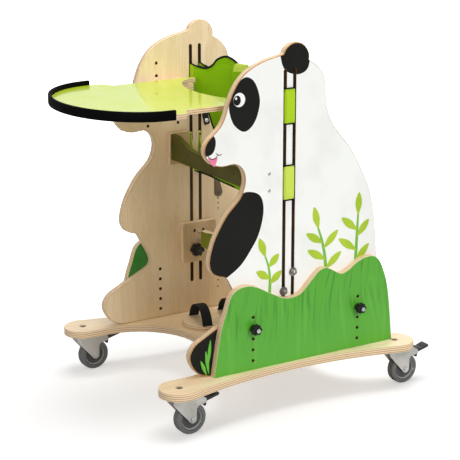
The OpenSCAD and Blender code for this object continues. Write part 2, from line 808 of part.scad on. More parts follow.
// Half of the knee board's face, from the middle out to its end
knee_board_top = [[0, 44], [70, 44], [120, 42], [146, 38]];
knee_board_low = [[0, -38], [70, -38], [112, -30], [134, -10], [146, -6]];
knee_end_top = 38;
knee_end_low = -6;

module knee_board() {
  top = smooth(concat(knee_board_top, [[knee_end, knee_end_top]]), 3);
  low = smooth(concat(knee_board_low, [[knee_end, knee_end_low]]), 3);
  right_edge = concat(top, reversed(low));
  color("yellowgreen") placed() difference() {
    translate([0, pin_y + knee_board_t / 2, base_top + knee_z]) rotate([90, 0, 0])
      linear_extrude(knee_board_t) polygon(concat(
        right_edge, [for (p = reversed(right_edge)) [-p[0], p[1]]]));
    for (s = [0, 1], z = pin_z) mirror([s, 0, 0])
      bar_x(knee_end - pin_l / 2, knee_end + eps, pin_d / 2 + screw_fit, pin_y, z);
  }
}

// Pins that carry the knee board between its plates
module knee_pins() {
  color("silver") placed() for (s = [0, 1], z = pin_z) mirror([s, 0, 0])
    bar_x(knee_end - pin_l / 2, plate_in + plate_t / 2, pin_d / 2, pin_y, z);
}

washer_r = 11;
washer_t = 2.5;
nut_r = 7.5;
nut_h = 6;

// Bolt in a slot, with its washer and cap nut outside the panel
module cap_nut(y, z, from) {
  seat = panel_out + slide_gap;
  bar_x(from, seat + washer_t, bolt_r, y, z);
  bar_x(seat, seat + washer_t, washer_r, y, z);
  translate([seat + washer_t, y, z]) rotate([0, 90, 0]) {
    cylinder(h = nut_h, r = nut_r, $fn = 6);
    intersection() {
      translate([0, 0, nut_h]) sphere(nut_r * 0.82);
      cylinder(h = nut_h + nut_r, r = nut_r);
    }
  }
}

module knee_nuts() {
  color("silver") placed() for (s = [0, 1]) mirror([s, 0, 0]) {
    cap_nut(slot_front_y, knee_low_z, plate_in + plate_t - bolt_end);
    cap_nut(slot_rear_y, knee_high_z, plate_in + plate_t / 2);
  }
}

// Clamp knob on the inner side of a knee plate, on the lower bolt's line
module knee_knob(right) {
  color("black") placed() on_side(right) translate([plate_in - slide_gap, slot_front_y, knee_low_z])
    rotate([0, -90, 0]) star_knob(clamp_d, plate_t - bolt_end);
}

cushion_l = 250;
cushion_h = 74;
cushion_rings = 18;
cushion_sides = 20;

function signed_pow(v, e) = sign(v) * pow(abs(v), e);

// Ring of a cushion that is flat towards the board and crowned behind
function cushion_ring(i) =
  let (u = sin(90 * (2 * i / cushion_rings - 1)), k = max(pow(1 - pow(abs(u), 5), 0.34), 0.3))
  [for (j = [0 : cushion_sides - 1]) let (a = 360 * j / cushion_sides,
    y = cushion_t / 2 * k * signed_pow(cos(a), 0.7),
    z = cushion_h / 2 * (0.85 + 0.15 * k) * signed_pow(sin(a), 0.6))
    [cushion_l / 2 * u, max(y, -0.35 * cushion_t), z]];

// Closed skin over equal rings
module skin(rings) {
  n = len(rings);
  m = len(rings[0]);
  points = [for (r = rings, p = r) p];
  walls = [for (i = [0 : n - 2], j = [0 : m - 1]) let (a = i * m + j, b = i * m + (j + 1) % m)
    each [[a, a + m, b + m], [a, b + m, b]]];
  first = [for (j = [1 : m - 2]) [0, j, j + 1]];
  last = [for (j = [1 : m - 2]) [(n - 1) * m, (n - 1) * m + j + 1, (n - 1) * m + j]];
  polyhedron(points, concat(walls, first, last));
}

module knee_pad() {
  back = pin_y + knee_board_t / 2 + slide_gap;
  color("olivedrab") placed() translate([0, back + 0.35 * cushion_t, base_top + knee_z + 3])
    skin([for (i = [0 : cushion_rings]) cushion_ring(i)]);
}

// Feet

module foot_plate(right) {
  color("burlywood") placed() on_side(right) translate([foot_span / 2, -foot_front, base_top])
    linear_extrude(foot_t) {
      translate([0, foot_w / 2]) circle(foot_w / 2);
      translate([-foot_w / 2, foot_w / 2]) square([foot_w, foot_l - foot_w]);
      translate([0, foot_l - foot_w / 2]) circle(foot_w / 2);
    }
}

webbing_t = 2.5;
webbing_at = [48, 138];
tab_l = 8;
// Room between a strap's tabs and the edge of the foot plate
tab_room = 6;

// Webbing arch over a foot, with a flat tab at each end
module foot_strap(y) {
  half = foot_w / 2 - tab_l - tab_room;
  translate([0, y, 0]) rotate([90, 0, strap_turn]) linear_extrude(webbing_w, center = true) {
    polygon(concat(arc([0, 0], half, arch_h, 0, 180, 24),
      arc([0, 0], half - webbing_t, arch_h - webbing_t, 180, 0, 24)));
    for (s = [-1, 1]) translate([s * (half + tab_l / 2 - webbing_t), webbing_t / 2])
      square([tab_l, webbing_t], center = true);
  }
}

module foot_straps(right) {
  color("black") placed() on_side(right) translate([foot_span / 2, -foot_front, base_top + foot_t])
    for (y = webbing_at) foot_strap(y);
}

// Castors by name, with their places across and along the frame
CORNERS = [["fl", 1, -1], ["fr", -1, -1], ["rl", 1, 1], ["rr", -1, 1]];
function castor_node(c, piece) = str("castor_", c[0], "_", piece);

base_board();
board_screws();
castor_bolts();
side_panel(false);  // side_panel_left
side_panel(true);  // side_panel_right
grass_board(false);  // grass_board_left
grass_board(true);  // grass_board_right
panel_knob(false, -hole_front);  // panel_knob_fl
panel_knob(true, -hole_front);  // panel_knob_fr
panel_knob(false, hole_rear);  // panel_knob_rl
panel_knob(true, hole_rear);  // panel_knob_rr
anchor_tabs();
anchor_rings();
tray_board();
tray_trim();
tray_rail(false);  // tray_rail_left
tray_rail(true);  // tray_rail_right
tray_knob(false);  // tray_knob_left
tray_knob(true);  // tray_knob_right
chest_belt(false);  // chest_belt_left
chest_belt(true);  // chest_belt_right
hip_belt(false);  // hip_belt_left
hip_belt(true);  // hip_belt_right
hip_block(false);  // hip_block_left
hip_block(true);  // hip_block_right
hip_board();
hip_screws();
knee_plate(false);  // knee_plate_left
knee_plate(true);  // knee_plate_right
knee_board();
knee_pins();
knee_nuts();
knee_knob(false);  // knee_knob_left
knee_knob(true);  // knee_knob_right
knee_pad();
foot_plate(false);  // foot_plate_left
foot_plate(true);  // foot_plate_right
foot_straps(false);  // foot_straps_left
foot_straps(true);  // foot_straps_right
for (c = CORNERS) corner(c[1], c[2]) {
  fork();
  axle();
  hub();
  tyre();
  pedal();
}
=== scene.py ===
"""Dresses the standing frame: plywood boards with their prints, padded belts, castors and a studio."""
import logging
import math
from dataclasses import dataclass, field
from enum import Enum
from itertools import groupby
from typing import Callable, Optional, Sequence

import bmesh
import bpy
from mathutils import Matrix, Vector


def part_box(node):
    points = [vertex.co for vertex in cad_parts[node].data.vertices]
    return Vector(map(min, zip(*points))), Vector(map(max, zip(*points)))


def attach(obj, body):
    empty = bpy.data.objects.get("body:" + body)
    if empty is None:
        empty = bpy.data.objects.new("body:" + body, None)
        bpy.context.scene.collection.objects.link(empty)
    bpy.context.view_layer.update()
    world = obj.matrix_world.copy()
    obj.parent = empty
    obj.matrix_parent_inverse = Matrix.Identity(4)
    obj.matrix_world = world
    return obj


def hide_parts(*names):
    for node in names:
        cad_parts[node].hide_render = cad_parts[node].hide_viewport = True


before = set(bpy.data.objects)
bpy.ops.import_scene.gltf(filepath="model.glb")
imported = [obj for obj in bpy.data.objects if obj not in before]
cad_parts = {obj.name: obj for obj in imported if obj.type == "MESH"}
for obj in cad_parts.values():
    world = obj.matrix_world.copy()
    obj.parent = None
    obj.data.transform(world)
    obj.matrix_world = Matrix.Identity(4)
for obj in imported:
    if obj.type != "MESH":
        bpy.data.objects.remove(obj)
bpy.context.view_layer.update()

LOG = logging.getLogger("standing_frame")
MM = 0.001
# The drawing's zero along y lies this far behind the frame's own origin, in millimetres
DRAWING_Y = 33.0
# Height of the base board's top, and a panel's outer and inner face from the middle, in millimetres
BASE_TOP = 122.0
PANEL_OUT = 233.0
PANEL_IN = 215.0

Point = tuple[float, float]
Colour = tuple[float, ...]
Piece = bpy.types.Object
Node = bpy.types.Node
Socket = bpy.types.NodeSocket


class Axis(Enum):
    """Direction across a board's layers."""

    X = 0
    Y = 1
    Z = 2


class Side(Enum):
    """Side of the frame, as the sign of x."""

    LEFT = 1
    RIGHT = -1

    @property
    def word(self) -> str:
        """Name of the side as the nodes spell it."""
        return self.name.lower()


def spot(x: float, y: float, z: float) -> Vector:
    """Point of the drawing, in millimetres, as a place in the frame, in metres."""
    return Vector((x * MM, (y + DRAWING_Y) * MM, z * MM))


def arm(degrees: float, length: float = 1.0) -> Point:
    """End of an arm of a given length that stands at an angle."""
    return length * math.cos(math.radians(degrees)), length * math.sin(math.radians(degrees))


def tint(red: int, green: int, blue: int) -> Colour:
    """Display colour from 0 to 255 as the linear colour that a shader takes."""
    parts = [c / 255 for c in (red, green, blue)]
    line = [c / 12.92 if c <= 0.04045 else ((c + 0.055) / 1.055) ** 2.4 for c in parts]
    return (line[0], line[1], line[2], 1.0)


def smooth_line(points: Sequence[Sequence[float]], steps: int,
                closed: bool = False) -> list[tuple[float, ...]]:
    """Smooth line through points.

    Args:
        points: Points that the line passes.
        steps: Steps between two of them.
        closed: Whether the line returns to its start.

    Returns:
        The line's points, with the start not repeated on a closed line.
    """
    count = len(points)
    spans = count if closed else count - 1
    line = []
    for i in range(spans):
        if closed:
            four = [points[(i + k) % count] for k in (-1, 0, 1, 2)]
        else:
            four = [points[min(max(i + k, 0), count - 1)] for k in (-1, 0, 1, 2)]
        for k in range(steps):
            t = k / steps
            line.append(tuple(
                0.5 * (2 * b + (c - a) * t + (2 * a - 5 * b + 4 * c - d) * t * t
                       + (3 * b - a - 3 * c + d) * t ** 3)
                for a, b, c, d in zip(*four)))
    if not closed:
        line.append(tuple(points[-1]))
    return line


def between(line: Sequence[Point], x: float) -> float:
    """Value at x on a line of points that run from left to right, held beyond its ends."""
    if x <= line[0][0]:
        return line[0][1]
    for (x0, y0), (x1, y1) in zip(line, line[1:]):
        if x <= x1:
            return y0 + (y1 - y0) * (x - x0) / (x1 - x0)
    return line[-1][1]


class Board:
    """Drafting board for one node tree."""

    def __init__(self, tree: bpy.types.NodeTree) -> None:
        """Starts on a node tree."""
        self.tree = tree

    def add(self, kind: str, settings: Optional[dict] = None, **inputs) -> Node:
        """Adds a node.

        Args:
            kind: Node type without its ShaderNode prefix.
            settings: Attributes of the node.
            inputs: Values or sockets for its inputs, with spaces written as underscores.

        Returns:
            The new node.
        """
        node = self.tree.nodes.new("ShaderNode" + kind)
        for key, value in (settings or {}).items():
            setattr(node, key, value)
        self.fill(node, **inputs)
        return node

    def fill(self, node: Node, **inputs) -> None:
        """Feeds inputs of a node, by their names with spaces written as underscores."""
        for key, value in inputs.items():
            self.feed(node.inputs[key.replace("_", " ")], value)

    def feed(self, socket: Socket, value) -> None:
        """Links a socket to a socket, or sets its value."""
        if isinstance(value, Socket):
            self.tree.links.new(value, socket)
        else:
            socket.default_value = value

    def pair(self, kind: str, settings: dict, a, b) -> Node:
        """Adds a node that works on two values."""
        node = self.add(kind, settings)
        self.feed(node.inputs[0], a)
        self.feed(node.inputs[1], b)
        return node

    def math(self, operation: str, a, b=0.0) -> Socket:
        """Result of one calculation on two values."""
        return self.pair("Math", {"operation": operation}, a, b).outputs[0]

    def plus(self, a, b) -> Socket:
        """Sum of two values."""
        return self.math("ADD", a, b)

    def minus(self, a, b) -> Socket:
        """Difference of two values."""
        return self.math("SUBTRACT", a, b)

    def times(self, a, b) -> Socket:
        """Product of two values."""
        return self.math("MULTIPLY", a, b)

    def size(self, a) -> Socket:
        """Value without its sign."""
        return self.math("ABSOLUTE", a)

    def stretch(self, vector, factors: Sequence[float]) -> Socket:
        """Vector multiplied part by part."""
        return self.pair("VectorMath", {"operation": "MULTIPLY"}, vector, tuple(factors)).outputs[0]

    def split(self, vector) -> bpy.types.NodeOutputs:
        """Parts of a vector, by the letters of the axes."""
        return self.add("SeparateXYZ", Vector=vector).outputs

    def gather(self, x, y, z=0.0) -> Socket:
        """Vector of three parts."""
        return self.add("CombineXYZ", X=x, Y=y, Z=z).outputs[0]

    def noise(self, vector, scale: float, detail: float = 3.0, rough: float = 0.55) -> Socket:
        """Soft noise from 0 to 1."""
        node = self.add("TexNoise", Vector=vector, Scale=scale, Detail=detail, Roughness=rough)
        return node.outputs["Fac"]

    def ramp(self, value, low: float, high: float, out_low: float = 0.0, out_high: float = 1.0) -> Socket:
        """Value spread from one range to another, held at the ends."""
        return self.add("MapRange", {"interpolation_type": "SMOOTHSTEP"}, Value=value, From_Min=low,
                        From_Max=high, To_Min=out_low, To_Max=out_high).outputs["Result"]

    def mix(self, share, first, second) -> Socket:
        """Mixture of two colours."""
        node = self.add("Mix", {"data_type": "RGBA"}, Factor=share)
        self.feed(node.inputs[6], first)
        self.feed(node.inputs[7], second)
        return node.outputs[2]

    def bump(self, height, strength: float, depth: float) -> Socket:
        """Surface normal raised by a height."""
        return self.add("Bump", Height=height, Strength=strength, Distance=depth).outputs["Normal"]


def fresh_board(owner: bpy.types.ID) -> Board:
    """Empty drafting board for the nodes of a material or a world."""
    owner.use_nodes = True
    owner.node_tree.nodes.clear()
    return Board(owner.node_tree)


@dataclass(frozen=True)
class Effect:
    """Shared effect, built once as a node group with one vector and some numbers as inputs."""

    name: str
    vector: str
    numbers: tuple[str, ...]
    results: tuple[str, ...]
    draw: Callable[[Board, Node, Node], None]

    def group(self) -> bpy.types.NodeTree:
        """Node group of the effect, made on its first use."""
        tree = bpy.data.node_groups.get(self.name)
        if tree is None:
            tree = bpy.data.node_groups.new(self.name, "ShaderNodeTree")
            for way, kind, labels in (("INPUT", "Vector", (self.vector,)), ("INPUT", "Float", self.numbers),
                                      ("OUTPUT", "Float", self.results)):
                for label in labels:
                    tree.interface.new_socket(label, in_out=way, socket_type="NodeSocket" + kind)
            start, end = tree.nodes.new("NodeGroupInput"), tree.nodes.new("NodeGroupOutput")
            self.draw(Board(tree), start, end)
        return tree

    def use(self, board: Board, **inputs) -> bpy.types.NodeOutputs:
        """Results of the effect in a material, with the material's own inputs."""
        return board.add("Group", {"node_tree": self.group()}, **inputs).outputs


def draw_grain(board: Board, start: Node, end: Node) -> None:
    """Wood grain: fine streaks along the fibre, a broad figure and rare darker flecks."""
    place = start.outputs["Place"]
    warp = board.noise(place, 4.0, 2.0)
    shift = board.gather(board.times(warp, 0.05), board.times(warp, 0.04))
    moved = board.pair("VectorMath", {"operation": "ADD"}, place, shift).outputs[0]
    fine = board.noise(board.stretch(moved, (420.0, 420.0, 9.0)), 1.0, 4.0)
    figure = board.noise(board.stretch(moved, (26.0, 26.0, 2.6)), 1.0, 3.0)
    fleck = board.ramp(board.noise(board.stretch(place, (240.0, 240.0, 22.0)), 1.0, 1.0), 0.66, 0.74)
    tone = board.plus(board.times(fine, 0.45), board.times(figure, 0.55))
    board.fill(end, Tone=board.ramp(tone, 0.36, 0.64), Fleck=fleck,
               Height=board.minus(fine, board.times(fleck, 0.3)))


def draw_layers(board: Board, start: Node, end: Node) -> None:
    """Plywood's edge: plies of long grain and end grain in turn, with thin dark glue lines."""
    place = start.outputs["Place"]
    sway = board.times(board.minus(board.noise(place, 22.0, 2.0), 0.5), 0.0005)
    turn = board.math("DIVIDE", board.plus(start.outputs["Depth"], sway), start.outputs["Ply"])
    half = board.math("FRACT", board.plus(turn, 0.5))
    pores = board.noise(board.stretch(place, (900.0, 900.0, 900.0)), 1.0, 2.0)
    board.fill(end, Tone=board.ramp(board.math("PINGPONG", turn, 1.0), 0.38, 0.62),
               Glue=board.ramp(board.size(board.minus(half, 0.5)), 0.02, 0.13, 1.0, 0.0),
               Pores=board.ramp(pores, 0.35, 0.7))


def draw_weave(board: Board, start: Node, end: Node) -> None:
    """Woven threads over and under each other, with loose fibres; the colour darkens where the threads sink,
    as painted shade between them.
    """
    place, thread = start.outputs["Place"], start.outputs["Thread"]
    parts = board.split(place)
    waves = []
    for axis, other in (("X", "Y"), ("Y", "X")):
        run = board.math("DIVIDE", parts[axis], thread)
        cross = board.math("FLOOR", board.math("DIVIDE", parts[other], thread))
        phase = board.times(board.plus(run, cross), math.pi / 2)
        waves.append(board.size(board.math("SINE", phase)))
    threads = board.math("MAXIMUM", waves[0], board.minus(1.0, waves[1]))
    fuzz = board.noise(place, 1500.0, 2.0)
    board.fill(end, Height=board.plus(threads, board.times(fuzz, 0.4)),
               Tone=board.times(threads, board.ramp(fuzz, 0.2, 0.8, 0.7, 1.0)))


def draw_stitches(board: Board, start: Node, end: Node) -> None:
    """Dashed seam along both edges of a padded band, by the band's own chart."""
    parts = board.split(start.outputs["Chart"])
    turn = board.math("COSINE", board.times(parts["Y"], 2 * math.pi))
    inset = board.minus(0.5, board.times(board.size(turn), 0.5))
    near = board.size(board.minus(inset, 0.085))
    run = board.math("FRACT", board.times(parts["X"], start.outputs["Count"]))
    dash = board.ramp(board.size(board.minus(run, 0.5)), 0.26, 0.36, 1.0, 0.0)
    board.fill(end, Thread=board.times(board.ramp(near, 0.004, 0.008, 1.0, 0.0), dash),
               Furrow=board.ramp(near, 0.0, 0.03, 1.0, 0.0))


def draw_handling(board: Board, start: Node, end: Node) -> None:
    """Marks of use: broad dull smears and fine specks."""
    place = start.outputs["Place"]
    board.fill(end, Smear=board.ramp(board.noise(place, 9.0, 4.0), 0.42, 0.7),
               Speck=board.ramp(board.noise(place, 420.0, 2.0), 0.45, 0.75))


GRAIN = Effect("wood_grain", "Place", (), ("Tone", "Fleck", "Height"), draw_grain)
LAYERS = Effect("plywood_layers", "Place", ("Depth", "Ply"), ("Tone", "Glue", "Pores"), draw_layers)
WEAVE = Effect("weave", "Place", ("Thread",), ("Height", "Tone"), draw_weave)
STITCHES = Effect("edge_stitches", "Chart", ("Count",), ("Thread", "Furrow"), draw_stitches)
HANDLING = Effect("handling", "Place", (), ("Smear", "Speck"), draw_handling)


@dataclass(frozen=True)
class Finish:
    """Finish of a surface; each kind draws its own material."""

    name: str

    def material(self) -> bpy.types.Material:
        """Material of the finish, made on its first use."""
        made = bpy.data.materials.get(self.name)
        if made is None:
            made = bpy.data.materials.new(self.name)
            board = fresh_board(made)
            skin = board.add("BsdfPrincipled")
            board.add("OutputMaterial", Surface=skin.outputs[0])
            self.draw(board, skin, board.add("TexCoord").outputs["Object"])
        return made

    def draw(self, board: Board, skin: Node, place: Socket) -> None:
        """Draws the surface; each kind of finish has its own."""
        raise NotImplementedError


@dataclass(frozen=True)
class Veneer(Finish):
    """Clear-coated birch face with its grain along one axis."""

    light: Colour = tint(244, 222, 186)
    dark: Colour = tint(233, 206, 165)
    fleck: Colour = tint(160, 120, 80)
    grain: Axis = Axis.Z

    def draw(self, board: Board, skin: Node, place: Socket) -> None:
        """Draws grain, figure and flecks."""
        turned = place
        if self.grain is not Axis.Z:
            order = {Axis.X: "YZX", Axis.Y: "XZY"}[self.grain]
            parts = board.split(place)
            turned = board.gather(*(parts[axis] for axis in order))
        grain = GRAIN.use(board, Place=turned)
        smear = HANDLING.use(board, Place=place)["Smear"]
        wood = board.mix(grain["Tone"], self.dark, self.light)
        board.fill(skin, Base_Color=board.mix(board.times(grain["Fleck"], 0.16), wood, self.fleck),
                   Roughness=board.ramp(smear, 0.0, 1.0, 0.36, 0.5), Coat_Weight=0.12, Coat_Roughness=0.3,
                   Normal=board.bump(grain["Height"], 0.12, 0.0004))


@dataclass(frozen=True)
class PlyEdge(Finish):
    """Bare layered edge of a plywood board."""

    across: Axis = Axis.X
    start: float = 0.0
    ply: float = 0.0026
    dark: Colour = tint(198, 162, 116)
    light: Colour = tint(248, 228, 196)
    pore: Colour = tint(165, 122, 78)
    glue: Colour = tint(140, 96, 58)

    def draw(self, board: Board, skin: Node, place: Socket) -> None:
        """Draws the plies across the board's thickness."""
        depth = board.minus(board.split(place)[self.across.name], self.start)
        layers = LAYERS.use(board, Place=place, Depth=depth, Ply=self.ply)
        wood = board.mix(layers["Tone"], self.dark, self.light)
        aged = board.mix(board.times(layers["Pores"], 0.25), wood, self.pore)
        board.fill(skin, Base_Color=board.mix(board.times(layers["Glue"], 0.5), aged, self.glue),
                   Roughness=board.ramp(layers["Tone"], 0.0, 1.0, 0.62, 0.48),
                   Normal=board.bump(layers["Tone"], 0.12, 0.0003))


@dataclass(frozen=True)
class Laminate(Finish):
    """Hard coloured laminate with a fine satin texture."""

    colour: Colour = tint(246, 247, 243)
    shade: Colour = tint(238, 239, 234)
    rough: float = 0.38
    pebble: float = 0.05
    gloss: float = 0.5
    coat: float = 0.0

    def draw(self, board: Board, skin: Node, place: Socket) -> None:
        """Draws the colour, its slight unevenness and the pebbled surface."""
        smear = HANDLING.use(board, Place=place)["Smear"]
        board.fill(skin, Base_Color=board.mix(smear, self.colour, self.shade),
                   Roughness=board.ramp(smear, 0.0, 1.0, self.rough, self.rough + 0.12),
                   Specular_IOR_Level=self.gloss, Coat_Weight=self.coat, Coat_Roughness=0.06,
                   Normal=board.bump(board.noise(place, 1100.0, 2.0), self.pebble, 0.0004))


@dataclass(frozen=True)
class Meadow(Finish):
    """Green laminate printed with soft blades of grass."""

    colour: Colour = tint(84, 166, 46)
    shade: Colour = tint(44, 118, 28)
    gleam: Colour = tint(98, 178, 56)
    blades: tuple[tuple[float, float, float], ...] = ((75.0, 5.0, 0.0), (130.0, 8.0, 3.7), (46.0, 3.2, 7.1))

    def draw(self, board: Board, skin: Node, place: Socket) -> None:
        """Draws leaning blades that fade towards the ground."""
        parts = board.split(place)
        lean = board.noise(board.stretch(place, (0.0, 6.0, 3.0)), 1.0, 1.0)
        rise = board.minus(parts["Z"], BASE_TOP * MM)
        bent = board.plus(parts["Y"], board.times(board.minus(lean, 0.5), board.times(rise, 0.75)))
        coarse, fine, pale = (
            board.noise(board.gather(board.times(bent, width), board.plus(board.times(rise, length), shift)),
                        1.0, 1.5) for width, length, shift in self.blades)
        height = board.ramp(rise, 0.02, 0.17)
        dark = board.times(board.ramp(coarse, 0.52, 0.66), height)
        thin = board.times(board.ramp(fine, 0.56, 0.68), board.times(height, 0.7))
        light = board.times(board.ramp(pale, 0.54, 0.7), 0.6)
        ground = board.mix(light, self.colour, self.gleam)
        tufts = board.mix(board.times(dark, 0.55), ground, self.shade)
        smear = HANDLING.use(board, Place=place)["Smear"]
        board.fill(skin, Base_Color=board.mix(board.times(thin, 0.6), tufts, self.shade),
                   Roughness=board.ramp(smear, 0.0, 1.0, 0.4, 0.52),
                   Normal=board.bump(board.noise(place, 1100.0, 2.0), 0.05, 0.0004))


@dataclass(frozen=True)
class Cloth(Finish):
    """Woven fabric on the piece's own UV map, which covers a size in metres, with an optional seam."""

    colour: Colour = tint(140, 188, 30)
    shade: Colour = tint(104, 150, 16)
    thread: float = 0.0011
    depth: float = 0.5
    size: Point = (1.0, 1.0)
    stitches: int = 0

    def draw(self, board: Board, skin: Node, place: Socket) -> None:
        """Draws the threads, the nap and slight fading."""
        chart = board.add("UVMap").outputs["UV"]
        weave = WEAVE.use(board, Place=board.stretch(chart, (*self.size, 1.0)), Thread=self.thread)
        smear = HANDLING.use(board, Place=place)["Smear"]
        # Darker where the weave sinks between its threads: painted shade
        woven = board.mix(weave["Tone"], self.shade, self.colour)
        cover = board.mix(board.times(smear, 0.18), woven, self.shade)
        height = weave["Height"]
        if self.stitches:
            seam = STITCHES.use(board, Chart=chart, Count=float(self.stitches))
            cover = board.mix(board.times(seam["Thread"], 0.7), cover, self.shade)
            height = board.minus(height, board.times(seam["Furrow"], 1.6))
        board.fill(skin, Base_Color=cover, Roughness=board.ramp(weave["Tone"], 0.0, 1.0, 0.95, 0.8),
                   Normal=board.bump(height, self.depth, 0.0006), Sheen_Weight=0.03, Specular_IOR_Level=0.15)


@dataclass(frozen=True)
class Moulding(Finish):
    """Moulded plastic or rubber with a fine eroded texture."""

    colour: Colour = tint(28, 28, 28)
    worn: Colour = tint(52, 52, 52)
    rough: float = 0.5
    grit: float = 0.15
    gloss: float = 0.5

    def draw(self, board: Board, skin: Node, place: Socket) -> None:
        """Draws the colour with rubbed places and grit."""
        marks = HANDLING.use(board, Place=place)
        rubbed = board.times(marks["Speck"], board.times(marks["Smear"], 0.6))
        board.fill(skin, Base_Color=board.mix(rubbed, self.colour, self.worn), Specular_IOR_Level=self.gloss,
                   Roughness=board.ramp(marks["Smear"], 0.0, 1.0, self.rough, self.rough + 0.16),
                   Normal=board.bump(board.noise(place, 1600.0, 2.0), self.grit, 0.0003))


@dataclass(frozen=True)
class Metal(Finish):
    """Plated steel with faint handling marks."""

    colour: Colour = tint(206, 207, 208)
    dull: Colour = tint(168, 170, 172)
    rough: float = 0.3

    def draw(self, board: Board, skin: Node, place: Socket) -> None:
        """Draws the plating, its cloudy places and fine scratches."""
        smear = HANDLING.use(board, Place=place)["Smear"]
        scratch = board.noise(board.stretch(place, (300.0, 2200.0, 2200.0)), 1.0, 2.0)
        board.fill(skin, Base_Color=board.mix(smear, self.colour, self.dull), Metallic=0.9,
                   Roughness=board.ramp(smear, 0.0, 1.0, self.rough, self.rough + 0.2),
                   Normal=board.bump(scratch, 0.05, 0.0003))


WHITE = Laminate("white_laminate")
BLACK = Laminate("black_laminate", tint(20, 20, 18), tint(26, 26, 24), 0.6, 0.3, 0.15)
EYE_WHITE = Laminate("eye_white", tint(248, 248, 246), tint(240, 240, 238))
TONGUE = Laminate("tongue_pink", tint(236, 128, 164), tint(226, 112, 150))
PANEL_LIP = Laminate("panel_lip", tint(172, 128, 84), tint(160, 118, 76), 0.5, 0.0)
LIME = Laminate("lime_laminate", tint(184, 204, 34), tint(178, 198, 30), 0.3, 0.0, 0.5, 0.62)
OLIVE = Laminate("green_laminate", tint(118, 124, 30), tint(104, 110, 24), 0.5, 0.06, 0.2)
# Olive darkened for the hip board, on its faces and edges alike: painted shade under the tray
SHADED_OLIVE = Laminate("hip_laminate", tint(80, 76, 12), tint(70, 68, 9), 0.5, 0.06, 0.2)
LEAF = Laminate("leaf_print", tint(176, 204, 44), tint(160, 190, 34))
STALK = Laminate("stalk_print", tint(122, 190, 66), tint(104, 176, 56))
BLADE = Laminate("blade_print", tint(98, 186, 56), tint(84, 168, 48))
MEADOW = Meadow("grass_print")
MEADOW_BACK = Laminate("grass_back", tint(54, 140, 54), tint(46, 128, 46))
BIRCH_UP = Veneer("birch_upright")
BIRCH_FLAT = Veneer("birch_flat", grain=Axis.Y)
# Darker, warmer birch for the knee plates and hip blocks under the tray: partly a darker wood, partly painted
# shade
BIRCH_SHADED = Veneer("birch_deep", tint(214, 184, 140), tint(200, 168, 122))
EDGE_X = PlyEdge("ply_edge_x", Axis.X, PANEL_OUT * MM)
EDGE_Y = PlyEdge("ply_edge_y", Axis.Y)
EDGE_Z = PlyEdge("ply_edge_z", Axis.Z, BASE_TOP * MM)
RUBBER = Moulding("rim_rubber", tint(6, 6, 6), tint(14, 14, 14), 0.6, 0.08, 0.03)
PLASTIC = Moulding("knob_plastic", tint(14, 14, 14), tint(36, 36, 36), 0.42, 0.12, 0.3)
TAB_BROWN = Moulding("tab_brown", tint(104, 88, 66), tint(84, 70, 52), 0.5, 0.15)
TYRE = Moulding("tyre_rubber", tint(96, 96, 95), tint(118, 118, 117), 0.62, 0.2)
HUB = Moulding("hub_plastic", tint(66, 66, 66), tint(52, 52, 52), 0.5, 0.1)
RIM = Moulding("hub_rim", tint(158, 158, 156), tint(136, 136, 134), 0.45, 0.1)
ZINC = Metal("zinc_plate")
DARK_STEEL = Metal("blackened_steel", tint(70, 70, 72), tint(52, 52, 54), 0.42)
FORK_STEEL = Metal("fork_plate", tint(208, 206, 201), tint(184, 182, 177), 0.42)
# Dark brown on the walls of slots and holes: painted shade inside the narrow openings
SLOT_SHADE = Laminate("routed_wall", tint(96, 70, 44), tint(70, 50, 30), 0.8, 0.4, 0.2)
NUT_STEEL = Metal("nut_steel", tint(146, 141, 132), tint(112, 108, 100), 0.14)
BAND_SEWING = {"size": (0.55, 0.36), "stitches": 130}
BELT_CLOTH = Cloth("belt_cloth", tint(150, 206, 6), tint(118, 172, 3), **BAND_SEWING)
BELT_LOOP = Cloth("belt_loop", tint(216, 238, 100), tint(200, 224, 80), **BAND_SEWING)
CHEST_LOOP = Cloth("chest_loop", tint(186, 222, 46), tint(168, 206, 32), **BAND_SEWING)
PAD_COVER = Laminate("pad_cover", tint(138, 188, 8), tint(112, 160, 6), 0.85, 0.5, 0.2)
PIPING = Moulding("piping", tint(12, 12, 12), tint(26, 26, 26), 0.75, 0.15, 0.2)
WEBBING = Cloth("webbing", tint(36, 36, 37), tint(18, 18, 19), 0.0014, 0.8, (0.16, 0.03))


def deselect() -> None:
    """Leaves edit mode and deselects everything."""
    if bpy.context.object and bpy.context.object.mode != "OBJECT":
        bpy.ops.object.mode_set(mode="OBJECT")
    bpy.ops.object.select_all(action="DESELECT")


def focus(piece: Piece) -> None:
    """Selects one piece alone and makes it active."""
    deselect()
    piece.select_set(True)
    bpy.context.view_layer.objects.active = piece


def edit(piece: Piece, *jobs: Callable[[], object]) -> None:
    """Runs edit-mode jobs on a whole piece."""
    focus(piece)
    bpy.ops.object.mode_set(mode="EDIT")
    bpy.ops.mesh.select_all(action="SELECT")
    for job in jobs:
        job()
    bpy.ops.object.mode_set(mode="OBJECT")


def modify(piece: Piece, kind: str, **settings) -> None:
    """Adds a modifier and applies it."""
    modifier = piece.modifiers.new(kind.lower(), kind)
    for key, value in settings.items():
        setattr(modifier, key, value)
    focus(piece)
    bpy.ops.object.modifier_apply(modifier=modifier.name)


def bevel(piece: Piece, width: float, segments: int = 2, angle: float = 38.0) -> None:
    """Rounds the sharp edges of a piece, with the width in millimetres."""
    modify(piece, "BEVEL", width=width * MM, segments=segments, limit_method="ANGLE",
           angle_limit=math.radians(angle), use_clamp_overlap=True)


def soften(piece: Piece, angle: float = 32.0) -> None:
    """Shades a piece smooth below an angle."""
    focus(piece)
    bpy.ops.object.shade_smooth_by_angle(angle=math.radians(angle))


